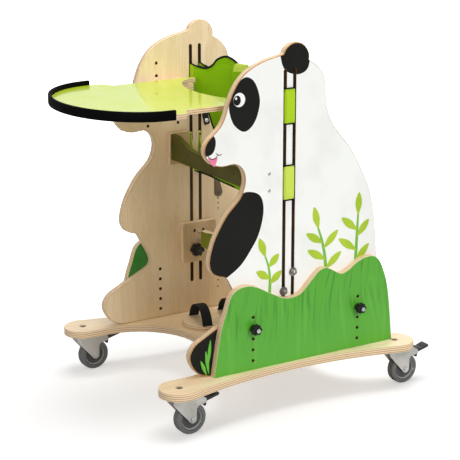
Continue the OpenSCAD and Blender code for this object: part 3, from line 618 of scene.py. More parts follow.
def placed(name: str, data: bpy.types.ID) -> Piece:
    """New object with some data, linked to the scene."""
    piece = bpy.data.objects.new(name, data)
    bpy.context.scene.collection.objects.link(piece)
    return piece


def basic(add: Callable[..., object], name: str, **sizes) -> Piece:
    """Basic mesh from one of the mesh operators, as a named piece."""
    deselect()
    add(**sizes)
    piece = bpy.context.object
    piece.name = name
    return piece


def copy_of(node: str, name: str) -> Piece:
    """Merged copy of a node's mesh as a new piece at the origin."""
    piece = placed(name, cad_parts[node].data.copy())
    piece.data.materials.clear()
    edit(piece, lambda: bpy.ops.mesh.remove_doubles(threshold=1e-5),
         lambda: bpy.ops.mesh.dissolve_limited(angle_limit=math.radians(0.4)))
    return piece


def mirrored(piece: Piece, name: str) -> Piece:
    """Copy of a piece for the other side of the frame."""
    twin = placed(name, piece.data.copy())
    for vertex in twin.data.vertices:
        vertex.co.x = -vertex.co.x
    edit(twin, bpy.ops.mesh.flip_normals)
    return twin


def joined(pieces: Sequence[Piece]) -> Piece:
    """One piece out of several, with the name of the first."""
    deselect()
    for piece in pieces:
        piece.select_set(True)
    bpy.context.view_layer.objects.active = pieces[0]
    bpy.ops.object.join()
    return pieces[0]


def face_out() -> None:
    """Turns all faces of the piece in edit mode outward."""
    bpy.ops.mesh.select_all(action="SELECT")
    bpy.ops.mesh.normals_make_consistent(inside=False)


def dress(piece: Piece, finish: Finish) -> None:
    """Gives a whole piece one finish."""
    piece.data.materials.clear()
    piece.data.materials.append(finish.material())


def round_off(piece: Piece, finish: Finish, width: float, segments: int = 2, angle: float = 38.0) -> None:
    """Rounds the sharp edges of a piece and gives it a finish."""
    bevel(piece, width, segments, angle)
    soften(piece)
    dress(piece, finish)


def hand_in(piece: Piece, body: str, slot: str, *nodes: str) -> Piece:
    """Puts a piece on its body, in the place of the nodes it stands for."""
    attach(piece, body)
    if nodes:
        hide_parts(*nodes)
    LOG.info("%s on %s, %d faces", piece.name, body, len(piece.data.polygons))
    return piece


def dress_copy(node: str, finish: Finish, body: str, slot: str, width: float, angle: float = 38.0) -> Piece:
    """Rounded copy of a node in its place, with one finish."""
    piece = copy_of(node, node + "_dressed")
    round_off(piece, finish, width, angle=angle)
    return hand_in(piece, body, slot, node)


def outline_plate(name: str, outline: Sequence[Point], x_from: float, x_to: float) -> Piece:
    """Upright plate with an outline in y and z of the drawing, in millimetres, between two x."""
    plate = basic(bpy.ops.mesh.primitive_circle_add, name, vertices=len(outline), fill_type="NGON")
    for vertex, (y, z) in zip(plate.data.vertices, outline):
        vertex.co = spot(x_from, y, z)
    depth = (x_to - x_from) * MM
    edit(plate, lambda: bpy.ops.mesh.extrude_region_move(TRANSFORM_OT_translate={"value": (depth, 0, 0)}),
         face_out)
    return plate


def tube(name: str, line: Sequence[Vector], radius: float) -> Piece:
    """Round tube along a line, in metres, as a mesh."""
    curve = bpy.data.curves.new(name, "CURVE")
    curve.dimensions = "3D"
    curve.bevel_depth = radius
    curve.bevel_resolution = 3
    curve.use_fill_caps = True
    spline = curve.splines.new("POLY")
    spline.points.add(len(line) - 1)
    for point, place in zip(spline.points, line):
        point.co = (*place, 1.0)
    focus(placed(name, curve))
    bpy.ops.object.convert(target="MESH")
    piece = bpy.context.object
    soften(piece, 50.0)
    return piece


def grid_shell(name: str, columns: int, rows: int, place: Callable[[float, float], Vector]) -> Piece:
    """Closed shell wrapped from a grid.

    Args:
        name: Name of the piece.
        columns: Steps along the piece.
        rows: Steps round it.
        place: Where a point of the grid goes, from its shares along and round.

    Returns:
        The shell, with its seam merged and its ends closed.
    """
    shell = basic(bpy.ops.mesh.primitive_grid_add, name, x_subdivisions=columns, y_subdivisions=rows,
                  size=1.0)
    for vertex in shell.data.vertices:
        vertex.co = place(vertex.co.x + 0.5, vertex.co.y + 0.5)
    edit(shell, lambda: bpy.ops.mesh.remove_doubles(threshold=1e-6),
         lambda: bpy.ops.mesh.fill_holes(sides=0), face_out)
    return shell


@dataclass(frozen=True)
class Swelling:
    """Stretch of a board's outline that is pushed away from a centre, in y and z of the drawing.

    The stretch lies between two angles, in degrees from the rear upward, and between two distances.
    """

    y: float
    z: float
    first: float
    last: float
    amount: float
    inside: float
    outside: float = 400.0
    fade: float = 20.0

    def push(self, piece: Piece) -> None:
        """Moves the points of a board's outline."""
        for vertex in piece.data.vertices:
            reach = Vector((vertex.co.y / MM - DRAWING_Y - self.y, vertex.co.z / MM - self.z))
            turn = math.degrees(math.atan2(reach.y, reach.x))
            share = (turn - self.first) % 360 / (self.last - self.first)
            hold = min(max((self.outside - reach.length) / self.fade, 0.0), 1.0)
            if reach.length > self.inside and share < 1:
                move = reach.normalized() * (self.amount * hold * math.sin(math.pi * share) ** 2 * MM)
                vertex.co += Vector((0, *move))


FOREHEAD = Swelling(y=-60, z=775, first=75, last=185, amount=10, inside=84)
NAPE = Swelling(y=30, z=800, first=-40, last=95, amount=9, inside=50, outside=105)
BACK = Swelling(y=60, z=600, first=-15, last=68, amount=6.5, inside=110)


@dataclass
class PlyBoard:
    """Plywood board: a node's copy with rounded edges, two faces and a layered rim.

    A face is flat, or tilted to the outer side, by the share of its normal across the board.
    """

    node: str
    across: Axis
    outer: Finish
    inner: Finish
    edge: Finish
    slot: str
    body: str = "frame"
    outward: int = 1
    round_over: float = 2.5
    segments: int = 3
    swellings: tuple[Swelling, ...] = ()
    lip: Optional[Finish] = None
    flat: float = 0.995
    tilted: float = 0.05

    def build(self) -> Piece:
        """Builds the board and puts it in its node's place."""
        piece = copy_of(self.node, self.node + "_ply")
        for swelling in self.swellings:
            swelling.push(piece)
        self.weigh_edges(piece)
        modify(piece, "BEVEL", width=self.round_over * MM, segments=self.segments, limit_method="WEIGHT",
               use_clamp_overlap=not self.lip)
        edit(piece, lambda: bpy.ops.mesh.remove_doubles(threshold=2e-5))
        piece.data.materials.clear()
        for finish in (self.outer, self.inner, self.edge, SLOT_SHADE, self.lip or self.edge):
            piece.data.materials.append(finish.material())
        soften(piece, 40.0)
        walls = piece.data.attributes["wall"].data
        for face in piece.data.polygons:
            lie = face.normal[self.across.value] * self.outward
            # Walls of slots and holes take the dark brown, painted shade inside them
            rim = 3 if walls[face.index].value else 4 if self.lip and lie > self.tilted else 2
            face.material_index = 0 if lie > self.flat else 1 if lie < -self.flat else rim
            face.use_smooth = abs(lie) <= self.flat
        piece.data.attributes.remove(piece.data.attributes["wall"])
        return hand_in(piece, self.body, self.slot, self.node)

    def weigh_edges(self, piece: Piece, narrow: float = 0.016, small: float = 0.16) -> None:
        """Marks the rims to round, the outline fully, slots and holes only a little, and their walls.

        Args:
            piece: Board to mark.
            narrow: A rim narrower than this, in metres, belongs to a slot or hole.
            small: Share of the rounding that a slot or hole gets.
        """
        shape = bmesh.new()
        shape.from_mesh(piece.data)
        weight = shape.edges.layers.float.new("bevel_weight_edge")
        wall = shape.faces.layers.int.new("wall")
        deep = self.across.value
        flat = [k for k in range(3) if k != deep]
        rims = {e for e in shape.edges if len(e.link_faces) == 2 and e.calc_face_angle() > math.radians(50)
                and abs(e.verts[0].co[deep] - e.verts[1].co[deep]) < 1e-5}
        while rims:
            loop, fresh = set(), [rims.pop()]
            while fresh:
                edge = fresh.pop()
                loop.add(edge)
                for near in {n for v in edge.verts for n in v.link_edges} & rims:
                    rims.discard(near)
                    fresh.append(near)
            places = [v.co for e in loop for v in e.verts]
            sizes = [max(c[k] for c in places) - min(c[k] for c in places) for k in flat]
            for edge in loop:
                edge[weight] = small if min(sizes) < narrow else 1.0
                for face in edge.link_faces:
                    face[wall] = int(min(sizes) < narrow and abs(face.normal[deep]) < 0.5)
        shape.to_mesh(piece.data)
        shape.free()


@dataclass(frozen=True)
class Marking:
    """Dark shape let into a side panel's face, with its outline in y and z of the drawing."""

    name: str
    outline: tuple[Point, ...]


def oval(y: float, z: float, wide: float, tall: float, count: int = 28) -> tuple[Point, ...]:
    """Points of an upright oval."""
    turns = [2 * math.pi * k / count for k in range(count)]
    return tuple((y + wide * math.cos(t), z + tall * math.sin(t)) for t in turns)


def leaf(y: float, z: float, length: float, wide: float, lean: float) -> tuple[Point, ...]:
    """Points of a pointed leaf that grows from a place, leaning from the upright to the rear."""
    c, s = arm(lean)
    half = [(0.0, 0.0), (0.32, 0.25), (0.5, 0.5), (0.36, 0.78), (0.0, 1.0)]
    shape = half + [(-w, r) for w, r in reversed(half[1:-1])]
    return tuple((y + w * wide * c + r * length * s, z + r * length * c - w * wide * s) for w, r in shape)


@dataclass(frozen=True)
class Sprig:
    """Printed plant: a stem in y and z of the drawing, and leaves by place, lean and length."""

    stem: tuple[Point, ...]
    leaves: tuple[tuple[float, float, float], ...]
    wide: float = 11.0


@dataclass
class SidePanels:
    """Pair of bear-shaped panels with their laminate, markings and plants."""

    skin: float = 0.3
    print_t: float = 0.2
    markings: tuple[Marking, ...] = (
        Marking("ear_patch", ((-24, 930), (25, 935), (70, 930), (61, 875), (55, 854), (43, 844), (22, 841),
                              (-8, 852), (-22, 880))),
        Marking("eye_patch", ((-117, 847), (-95, 832), (-81, 792), (-88, 752), (-105, 726), (-127, 718),
                              (-152, 736), (-164, 764), (-166, 789), (-157, 816), (-139, 838))),
        Marking("nose_patch", ((-213, 719), (-204, 710), (-203, 694), (-209, 678), (-221, 671), (-242, 672),
                               (-246, 700), (-232, 716))),
        Marking("arm_patch", ((-86, 562), (-71, 540), (-70, 504), (-83, 459), (-104, 425), (-130, 393),
                              (-158, 373), (-186, 362), (-226, 372), (-240, 420), (-214, 490), (-180, 535),
                              (-150, 556), (-120, 570))),
        Marking("foot_patch", ((-190, 246), (-214, 262), (-262, 226), (-296, 180), (-282, 130), (-240, 112),
                               (-200, 126), (-190, 180))))
    sprigs: tuple[Sprig, ...] = (
        Sprig(((208, 322), (210, 376), (212, 428), (214, 472)),
              ((0.22, 44, 58), (0.36, -56, 66), (0.56, 42, 54), (0.68, -52, 62), (0.98, 2, 58))),
        Sprig(((118, 322), (115, 366), (106, 410), (92, 452)),
              ((0.2, 50, 60), (0.34, -60, 62), (0.56, 46, 60), (0.7, -58, 58), (0.98, -14, 60))),
        Sprig(((-50, 300), (-49, 336), (-53, 372), (-64, 404)),
              ((0.3, 50, 44), (0.44, -58, 46), (0.72, 44, 42), (0.97, -20, 52)), 9.0))
    leaf_wide: float = 20.0
    blades: tuple[tuple[float, float, float, float], ...] = (
        (-224, 128, 62, -8), (-230, 126, 44, -22), (-226, 150, 66, 6))
    blade_wide: float = 9.0

    def build(self) -> None:
        """Builds the left panel's face and its twin on the right."""
        cores = {side: PlyBoard(f"side_panel_{side.word}", Axis.X, WHITE, BIRCH_UP, EDGE_X, "panel_white",
                                outward=side.value, swellings=(FOREHEAD, NAPE, BACK),
                                lip=PANEL_LIP, round_over=2.2).build() for side in Side}
        faces = [self.laminate(cores[Side.LEFT])]
        faces += self.inlay(faces[0])
        faces += self.face_print() + self.plants()
        for piece in faces:
            twin = mirrored(piece, piece.name + "_right")
            twin.data.materials.clear()
            twin.data.materials.append(piece.data.materials[0])
            piece.name += "_left"
            hand_in(piece, "frame", "panel_white")
            hand_in(twin, "frame", "panel_white")

    def laminate(self, core: Piece) -> Piece:
        """Thin white sheet over a panel's outer face, inside its rounded edge."""
        sheet = placed("panel_laminate", core.data.copy())
        focus(sheet)
        bpy.ops.object.mode_set(mode="EDIT")
        bpy.ops.mesh.select_mode(type="FACE")
        bpy.ops.mesh.select_all(action="DESELECT")
        bpy.ops.object.mode_set(mode="OBJECT")
        for face in sheet.data.polygons:
            face.select = face.material_index != 0
        bpy.ops.object.mode_set(mode="EDIT")
        bpy.ops.mesh.delete(type="FACE")
        bpy.ops.mesh.select_mode(type="VERT")
        bpy.ops.object.mode_set(mode="OBJECT")
        modify(sheet, "SOLIDIFY", thickness=self.skin * MM, offset=1.0)
        dress(sheet, WHITE)
        return sheet

    def inlay(self, sheet: Piece) -> list[Piece]:
        """Cuts the markings out of the white sheet and lets dark ones in."""
        made = []
        for marking in self.markings:
            line = smooth_line(marking.outline, 6, closed=True)
            cutter = outline_plate("cutter", line, PANEL_OUT - 2, PANEL_OUT + 2)
            patch = placed(marking.name, sheet.data.copy())
            modify(patch, "BOOLEAN", operation="INTERSECT", object=cutter, solver="EXACT")
            modify(sheet, "BOOLEAN", operation="DIFFERENCE", object=cutter, solver="EXACT")
            bpy.data.objects.remove(cutter)
            dress(patch, BLACK)
            made.append(patch)
        return made

    def printed(self, name: str, outline: Sequence[Point], finish: Finish, layer: int = 0) -> Piece:
        """Thin printed shape on the panel, on the given layer above its laminate."""
        low = PANEL_OUT + self.skin + layer * self.print_t
        plate = outline_plate(name, outline, low - 0.05, low + self.print_t)
        dress(plate, finish)
        return plate

    def face_print(self) -> list[Piece]:
        """Eye with its pupil and gleam, and a smile with its tongue."""
        eye = [
            self.printed("eye_white", oval(-138, 795, 16, 17), EYE_WHITE),
            self.printed("eye_pupil", oval(-144, 794, 9.8, 11.8), BLACK, 1),
            self.printed("eye_gleam", oval(-147, 799, 2.6, 3.0), EYE_WHITE, 2)]
        lips = smooth_line([(-224, 672), (-219, 665), (-211, 661.5), (-202, 664.5), (-198, 671)], 6)
        cheek = smooth_line([(-202, 676), (-197.5, 671), (-192, 669), (-186, 671.5)], 6)
        tongue = smooth_line([(-224, 670), (-219, 664.5), (-211, 661), (-202, 664)], 4) + smooth_line(
            [(-197, 666), (-200, 655), (-204, 647), (-208, 643.5), (-217, 653), (-223, 662)], 4)
        mouth = [self.printed("tongue", tongue, TONGUE)]
        mouth += [self.printed(name, self.stroke(line), BLACK, 1)
                  for name, line in (("lips", lips), ("cheek", cheek))]
        return eye + mouth

    def stroke(self, line: Sequence[Point], wide: float = 1.1) -> list[Point]:
        """Outline of a pen stroke along a line, thin at both ends."""
        above, below = [], []
        count = len(line) - 1
        for k, (y, z) in enumerate(line):
            (y0, z0), (y1, z1) = line[max(k - 1, 0)], line[min(k + 1, count)]
            size = math.hypot(y1 - y0, z1 - z0)
            half = wide * (0.35 + 0.65 * math.sin(math.pi * k / count))
            above.append((y - (z1 - z0) / size * half, z + (y1 - y0) / size * half))
            below.append((y + (z1 - z0) / size * half, z - (y1 - y0) / size * half))
        return above + below[::-1]

    def plants(self) -> list[Piece]:
        """Leafy sprigs that rise behind the green board, and blades of grass on the foot."""
        made = []
        for number, sprig in enumerate(self.sprigs):
            line = smooth_line(sprig.stem, 6)
            count = len(line) - 1
            halves = [sprig.wide / 2 * (1 - 0.5 * k / count) for k in range(count + 1)]
            left = [(y - half, z) for half, (y, z) in zip(halves, line)]
            right = [(y + half, z) for half, (y, z) in zip(halves, line)]
            made.append(self.printed(f"sprig_{number}_stem", left + right[::-1], STALK))
            for k, (share, lean, length) in enumerate(sprig.leaves):
                y, z = line[int(share * count)]
                shape = smooth_line(leaf(y, z, length, self.leaf_wide, lean), 4, True)
                made.append(self.printed(f"sprig_{number}_leaf_{k}", shape, LEAF, 1 + k % 2))
        for k, (y, z, length, lean) in enumerate(self.blades):
            shape = smooth_line(leaf(y, z, length, self.blade_wide, lean), 4, True)
            made.append(self.printed(f"foot_blade_{k}", shape, BLADE, k))
        return made


def swell(piece: Piece, pressure: float, cap: float, held: Callable[[Vector], bool],
          frames: int = 20) -> None:
    """Fills a padded piece by cloth simulation.

    Args:
        piece: Closed piece to fill.
        pressure: Pressure of the filling.
        cap: Farthest that a point may move, in metres.
        held: Whether a point stays where it is.
        frames: Length of the simulation.
    """
    before = [vertex.co.copy() for vertex in piece.data.vertices]
    group = piece.vertex_groups.new(name="held")
    group.add([k for k, place in enumerate(before) if held(place)], 1.0, "REPLACE")
    cloth = piece.modifiers.new("filling", "CLOTH")
    cloth.settings.use_pressure = True
    cloth.settings.uniform_pressure_force = pressure
    cloth.settings.effector_weights.gravity = 0
    cloth.settings.vertex_group_mass = "held"
    cloth.point_cache.frame_start, cloth.point_cache.frame_end = 1, frames
    for number in range(1, frames + 1):
        bpy.context.scene.frame_set(number)
    focus(piece)
    bpy.ops.object.modifier_apply(modifier=cloth.name)
    for vertex, old in zip(piece.data.vertices, before):
        move = vertex.co - old
        if move.length > cap:
            vertex.co = old + move.normalized() * cap
    piece.vertex_groups.clear()
    bpy.context.scene.frame_set(1)


@dataclass
class Belt:
    """Padded belt in two halves that loop through the panels' slots, in millimetres."""

    name: str
    middle: float
    edge_x: tuple[float, ...]
    edge_top: tuple[float, ...]
    edge_low: tuple[float, ...]
    height: float = 86.0
    pad: float = 7.0
    strap: float = 3.6
    taper: float = 30.0
    bow: float = 58.0
    lap: float = 150.0
    tongue: float = 15.0
    tongue_rise: float = 0.0
    tongue_trim: float = 20.0
    tongue_root: float = 20.0
    draw_in: float = 4.0
    gap: float = 0.4
    slots: Point = (-9.5, 17.5)
    slot_run: Point = (197.0, 214.0)
    join: float = 153.0
    join_rise: float = 16.0
    bend: float = 2.6
    stand_off: float = 2.4
    way_out: tuple[Point, ...] = ((-30.0, 4.0), (-14.0, 0.0))
    way_back: tuple[Point, ...] = ((-14.0, 0.0), (-36.0, -1.0))
    tail: Point = (4.0, 6.9)
    loop: Finish = BELT_LOOP
    loop_from: float = 199.0
    fold_top: float = 0.0
    fold_size: tuple[float, float, float] = (5.0, 7.8, 42.0)
    fold_in: float = 3.0
    filled_past_lap: float = 6.0
    filled_to: float = 150.0
    hem: float = 5.0
    piping_from: float = 8.0
    piping_to: float = 185.0
    piping_radii: Point = (3.0, 2.0)
    piping_steps: int = 150
    columns: int = 96
    rows: int = 28
    spans: int = 14
    smooth: int = 6

    def build(self) -> None:
        """Builds both halves with their piping and the folds in the slots."""
        for side in Side:
            self.half(side)
            for slot in self.slots if self.fold_top else ():
                self.fold(side, slot)

    def fold(self, side: Side, slot: float) -> None:
        """Folded webbing that fills a slot of one side."""
        fold = basic(bpy.ops.mesh.primitive_cube_add, f"{self.name}_{side.word}_fold_{slot:.0f}", size=1.0)
        deep, wide, tall = self.fold_size
        for vertex in fold.data.vertices:
            x, y, z = vertex.co
            vertex.co = spot(side.value * (PANEL_IN + self.fold_in + deep * x), slot + wide * y,
                             self.fold_top - tall / 2 + tall * z)
        round_off(fold, BELT_LOOP, 1.2, 3)
        hand_in(fold, self.name, "belt_lime")

    def line(self, side: Side) -> list[Point]:
        """Middle line of one half from above, as on the left side."""
        front, rear = self.slots
        shift = -side.value * (self.pad + self.gap) / 2
        join_y = front + self.join_rise + shift
        start = -self.lap / 2
        line = []
        for k in range(self.spans + 1):
            x = start + (self.join - start) * k / self.spans
            line.append((x, join_y + (self.bow - self.join_rise) * (1 - (x / self.join) ** 2)))
        line += [(PANEL_IN + x, front + y) for x, y in self.way_out]
        out = PANEL_OUT + self.stand_off - self.bend
        for middle, first in ((front + self.bend, -90), (rear - self.bend, 0)):
            for k in range(5):
                x, y = arm(first + 22.5 * k, self.bend)
                line.append((out + x, middle + y))
        line += [(PANEL_IN + x, rear + y) for x, y in self.way_back]
        return line + [(self.join + self.tail[0], join_y + self.tail[1])]

    def edges(self, x: float) -> Point:
        """Lower and upper edge at a distance from the middle; the tongue lies past it."""
        draw_in = rise = 0.0
        if x < 0:
            rise = self.tongue_rise * min(-x / self.tongue_root, 1.0)
            straight = self.lap / 2 - self.tongue
            over = min(max(-x - straight, 0.0), self.tongue)
            corner = self.tongue - math.sqrt(self.tongue ** 2 - over ** 2)
            draw_in = self.draw_in * min(-x / straight, 1.0) + corner
        ends = [self.middle + sign * self.height / 2 for sign in (-1, 1)]
        low, top = (smooth_line(list(zip(self.edge_x, edge)), 4) + [(PANEL_IN + 24, 0.0)]
                    for edge in (self.edge_low, self.edge_top))
        return ends[0] + between(low, x) + draw_in, ends[1] + between(top, x) - draw_in + rise

    def half(self, side: Side) -> None:
        """One half: a crowned band with a plain tongue, and black piping on the edges outside it."""
        path = smooth_line(self.line(side), self.smooth)
        runs = [0.0]
        for a, b in zip(path, path[1:]):
            runs.append(runs[-1] + math.dist(a, b))
        join_run = runs[self.spans * self.smooth]
        sign = side.value

        def at(share: float) -> tuple[Vector, Vector, float]:
            """Place, sideways direction and thickness at a share of the band's length."""
            run = share * runs[-1]
            k = min(max(i for i in range(len(runs)) if runs[i] <= run + 1e-9), len(path) - 2)
            t = (run - runs[k]) / (runs[k + 1] - runs[k])
            x, y = (path[k][j] + (path[k + 1][j] - path[k][j]) * t for j in (0, 1))
            dx, dy = path[k + 1][0] - path[k][0], path[k + 1][1] - path[k][1]
            size = math.hypot(dx, dy)
            plump = min(max((join_run - run) / self.taper, 0.0), 1.0)
            thick = self.strap + (self.pad - self.strap) * plump
            return Vector((x, y, 0)), Vector((-dy / size, dx / size, 0)), thick

        def wrapped(share: float, turn: float) -> Vector:
            """Place of the band's skin at shares along it and round it."""
            middle, out, thick = at(share)
            rise = 0.5 - 0.5 * math.cos(2 * math.pi * turn)
            low, top = self.edges(middle.x)
            crown = math.sqrt(max(0.0, 1 - abs(2 * rise - 1) ** 5))
            flank = -1 if turn < 0.5 else 1
            place = middle + out * (flank * crown * thick / 2)
            return spot(sign * place.x, place.y, low + (top - low) * rise)

        band = grid_shell(f"{self.name}_{side.word}_band", self.columns, self.rows, wrapped)
        swell(band, pressure=2.5, cap=0.0022,
              held=lambda place: self.held(sign * place.x / MM, place.z / MM))
        modify(band, "SUBSURF", levels=1, render_levels=1)
        soften(band, 60.0)
        dress(band, BELT_CLOTH)
        for finish in (self.loop, BELT_LOOP):
            band.data.materials.append(finish.material())
        for face in band.data.polygons:
            x, z = sign * face.center.x / MM, face.center.z / MM
            past = self.tongue_rise and x < -self.tongue_root
            trim = past and z > self.edges(x)[1] - self.tongue_trim
            face.material_index = 2 if trim else int(x > self.loop_from)
        hand_in(band, self.name, "belt_lime", f"{self.name}_{side.word}")
        self.trim(side, [at(k / self.piping_steps)[0] for k in range(self.piping_steps + 1)])

    def trim(self, side: Side, middles: Sequence[Vector]) -> None:
        """Black piping on both edges of one half.

        Args:
            side: Side of the half.
            middles: Places along the half's middle line, as on the left side.
        """
        kinds = [self.piping(middle.x) for middle in middles[:-1]]
        stretches = [(wide, list(run)) for wide, run in groupby(range(len(kinds)), kinds.__getitem__) if wide]
        for word, pick in (("low", 0), ("top", 1)):
            for part, (wide, run) in enumerate(stretches):
                line = [spot(side.value * m.x, m.y, self.edges(m.x)[pick])
                        for m in middles[run[0]:run[-1] + 2]]
                rim = tube(f"{self.name}_{side.word}_piping_{word}_{part}", line, wide * MM)
                dress(rim, PIPING)
                hand_in(rim, self.name, "webbing_black")

    def piping(self, x: float) -> float:
        """Radius of the piping at a distance from the middle.

        It is full on the pad, thin on the loop, and left out on the tongue and in a filled slot.
        """
        in_slot = bool(self.fold_top) and self.slot_run[0] < x < self.slot_run[1]
        if x < self.piping_from or in_slot:
            return 0.0
        return self.piping_radii[0] if x < self.piping_to else self.piping_radii[1]

    def held(self, x: float, z: float) -> bool:
        """Whether the filling leaves a place alone: on the overlap, near the panel and on the hems."""
        low, top = self.edges(x)
        padded = self.lap / 2 + self.filled_past_lap < x < self.filled_to
        return not padded or z < low + self.hem or z > top - self.hem


@dataclass
class Castors:
    """Four swivel castors with brake pedals."""

    corners: dict[str, Point] = field(default_factory=lambda: {
        "fl": (258.0, -321.0), "fr": (-258.0, -321.0), "rl": (258.0, 321.0), "rr": (-258.0, 321.0)})
    trail: float = 28.0
    axle_z: float = 40.0
    rim_from: float = 25.5

    def build(self) -> None:
        """Dresses the castors' pieces."""
        for word, (x, y) in self.corners.items():
            for part, body, finish, slot, width in (
                    ("fork", "castor", FORK_STEEL, "zinc", 0.8), ("axle", "castor", ZINC, "zinc", 0.6),
                    ("hub", "wheel", HUB, "hub_grey", 0.6), ("pedal", "pedal", DARK_STEEL, "zinc", 0.7)):
                piece = dress_copy(f"castor_{word}_{part}", finish, f"{body}_{word}", slot, width)
                if part == "hub":
                    self.brighten_rim(piece, spot(x, y + self.trail, self.axle_z))
            node = f"castor_{word}_tyre"
            piece = copy_of(node, node + "_dressed")
            soften(piece, 40.0)
            dress(piece, TYRE)
            hand_in(piece, f"wheel_{word}", "tyre_grey", node)

    def brighten_rim(self, hub: Piece, middle: Vector) -> None:
        """Gives the outer ring of a hub its paler finish."""
        hub.data.materials.append(RIM.material())
        for face in hub.data.polygons:
            away = face.center - middle
            if math.hypot(away.y, away.z) > self.rim_from * MM:
                face.material_index = 1


def repaint(node: str, finish: Finish) -> None:
    """Gives a node that keeps its own shape its finish."""
    dress(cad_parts[node], finish)


@dataclass
class Knobs:
    """Star knobs with a plated insert on their nose, in millimetres."""

    radius: float = 5.4
    depth: float = 1.6
    proud: float = 0.1

    def build(self) -> None:
        """Dresses every knob and lets in its insert."""
        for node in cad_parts:
            if "_knob_" in node:
                dress_copy(node, PLASTIC, node, "knob_black", 1.1)
                self.insert(node)

    def insert(self, node: str) -> None:
        """Round insert on the nose of a knob.

        Args:
            node: Node of the knob, which tells the way its nose looks.
        """
        low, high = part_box(node)
        middle = (low + high) / 2
        side = 1 if middle.x > 0 else -1
        if node.startswith("tray"):
            out, tip = Vector((0, 0, -1)), Vector((middle.x, middle.y, low.z))
        else:
            out = Vector((side if node.startswith("panel") else -side, 0, 0))
            tip = Vector((high.x if out.x > 0 else low.x, middle.y, middle.z))
        plug = basic(bpy.ops.mesh.primitive_cylinder_add, node + "_insert", vertices=32,
                     radius=self.radius * MM, depth=self.depth * MM)
        turn = Vector((0, 0, 1)).rotation_difference(out)
        for vertex in plug.data.vertices:
            vertex.co = turn @ vertex.co + tip + out * self.proud * MM
        round_off(plug, DARK_STEEL if node.startswith("knee") else ZINC, 0.4)
        hand_in(plug, node, "zinc")


@dataclass
class KneeSupport:
    """Knee carriage: plates, board, pins, nuts and a filled pad, in metres."""

    share: float = 0.95
    voxel: float = 0.005
    swelling: float = 0.006
    held: float = 0.004

    def build(self) -> None:
        """Builds the whole carriage."""
        for side in Side:
            # The knee plates take the darker birch, partly painted shade under the tray
            PlyBoard(f"knee_plate_{side.word}", Axis.X, BIRCH_SHADED, BIRCH_SHADED, EDGE_X, "birch",
                     "knee_carriage", round_over=4.0).build()
        PlyBoard("knee_board", Axis.Y, OLIVE, OLIVE, EDGE_Y, "board_lime", "knee_carriage").build()
        for node, finish in (("knee_pins", ZINC), ("knee_nuts", NUT_STEEL)):
            dress_copy(node, finish, "knee_carriage", "zinc", 0.5)
        self.pad()

    def pad(self) -> None:
        """Crowned pad behind the knee board, filled by simulation."""
        pad = copy_of("knee_pad", "knee_pad_filled")
        low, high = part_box("knee_pad")
        middle = (low + high) / 2
        for vertex in pad.data.vertices:
            vertex.co = middle + (vertex.co - middle) * self.share
        modify(pad, "REMESH", mode="VOXEL", voxel_size=self.voxel)
        swell(pad, pressure=4.0, cap=self.swelling, held=lambda place: place.y < low.y + self.held)
        modify(pad, "SUBSURF", levels=1, render_levels=1)
        for vertex in pad.data.vertices:
            vertex.co.y = max(vertex.co.y, low.y)
        soften(pad, 60.0)
        dress(pad, PAD_COVER)
        hand_in(pad, "knee_carriage", "belt_lime", "knee_pad")


@dataclass
class Feet:
    """Foot plates with webbing arches, in millimetres and degrees."""

    span: float = 104.0
    half: float = 46.0
    turn: float = 8.0
    rise: float = 46.0
    foot: float = 134.0
    wide: float = 28.0
    thick: float = 2.4
    squareness: float = 0.35
    places: Point = (-48.0, 42.0)

    def build(self) -> None:
        """Builds both feet."""
        for side in Side:
            PlyBoard(f"foot_plate_{side.word}", Axis.Z, BIRCH_FLAT, BIRCH_FLAT, EDGE_Z, "birch").build()
            straps = [self.arch(side, y, f"foot_strap_{side.word}_{k}") for k, y in enumerate(self.places)]
            hand_in(joined(straps), "frame", "webbing_black", f"foot_straps_{side.word}")

    def arch(self, side: Side, y: float, name: str) -> Piece:
        """Woven arch over a foot, with its ends turned out flat on the plate."""
        t = self.thick
        bow = [(arm(a, self.half)[0], arm(a, self.rise)[1] - t / 2) for a in range(8, 173, 4)]
        right, left = ([(sign * (self.half + out), t / 2) for out in (6, 1.5)] for sign in (1, -1))
        line = smooth_line([(x, max(z, t / 2)) for x, z in right + bow + left[::-1]], 2)
        c, s = arm(self.turn)
        count = len(line) - 1

        def wrapped(share: float, turn: float) -> Vector:
            """Place of the webbing's skin at shares along it and round it."""
            k = min(int(share * count), count - 1)
            part = share * count - k
            x, z = (line[k][j] + (line[k + 1][j] - line[k][j]) * part for j in (0, 1))
            dx, dz = line[k + 1][0] - line[k][0], line[k + 1][1] - line[k][1]
            step = math.hypot(dx, dz) or 1.0
            ring = 2 * math.pi * turn
            across, up = (size * math.copysign(abs(wave) ** self.squareness, wave)
                          for size, wave in ((self.wide / 2, math.cos(ring)), (t / 2, math.sin(ring))))
            reach = x - dz / step * up
            return spot(side.value * (self.span + reach * c - across * s), y + reach * s + across * c,
                        self.foot + z + dx / step * up)

        strap = grid_shell(name, count, 16, wrapped)
        soften(strap, 50.0)
        dress(strap, WEBBING)
        return strap


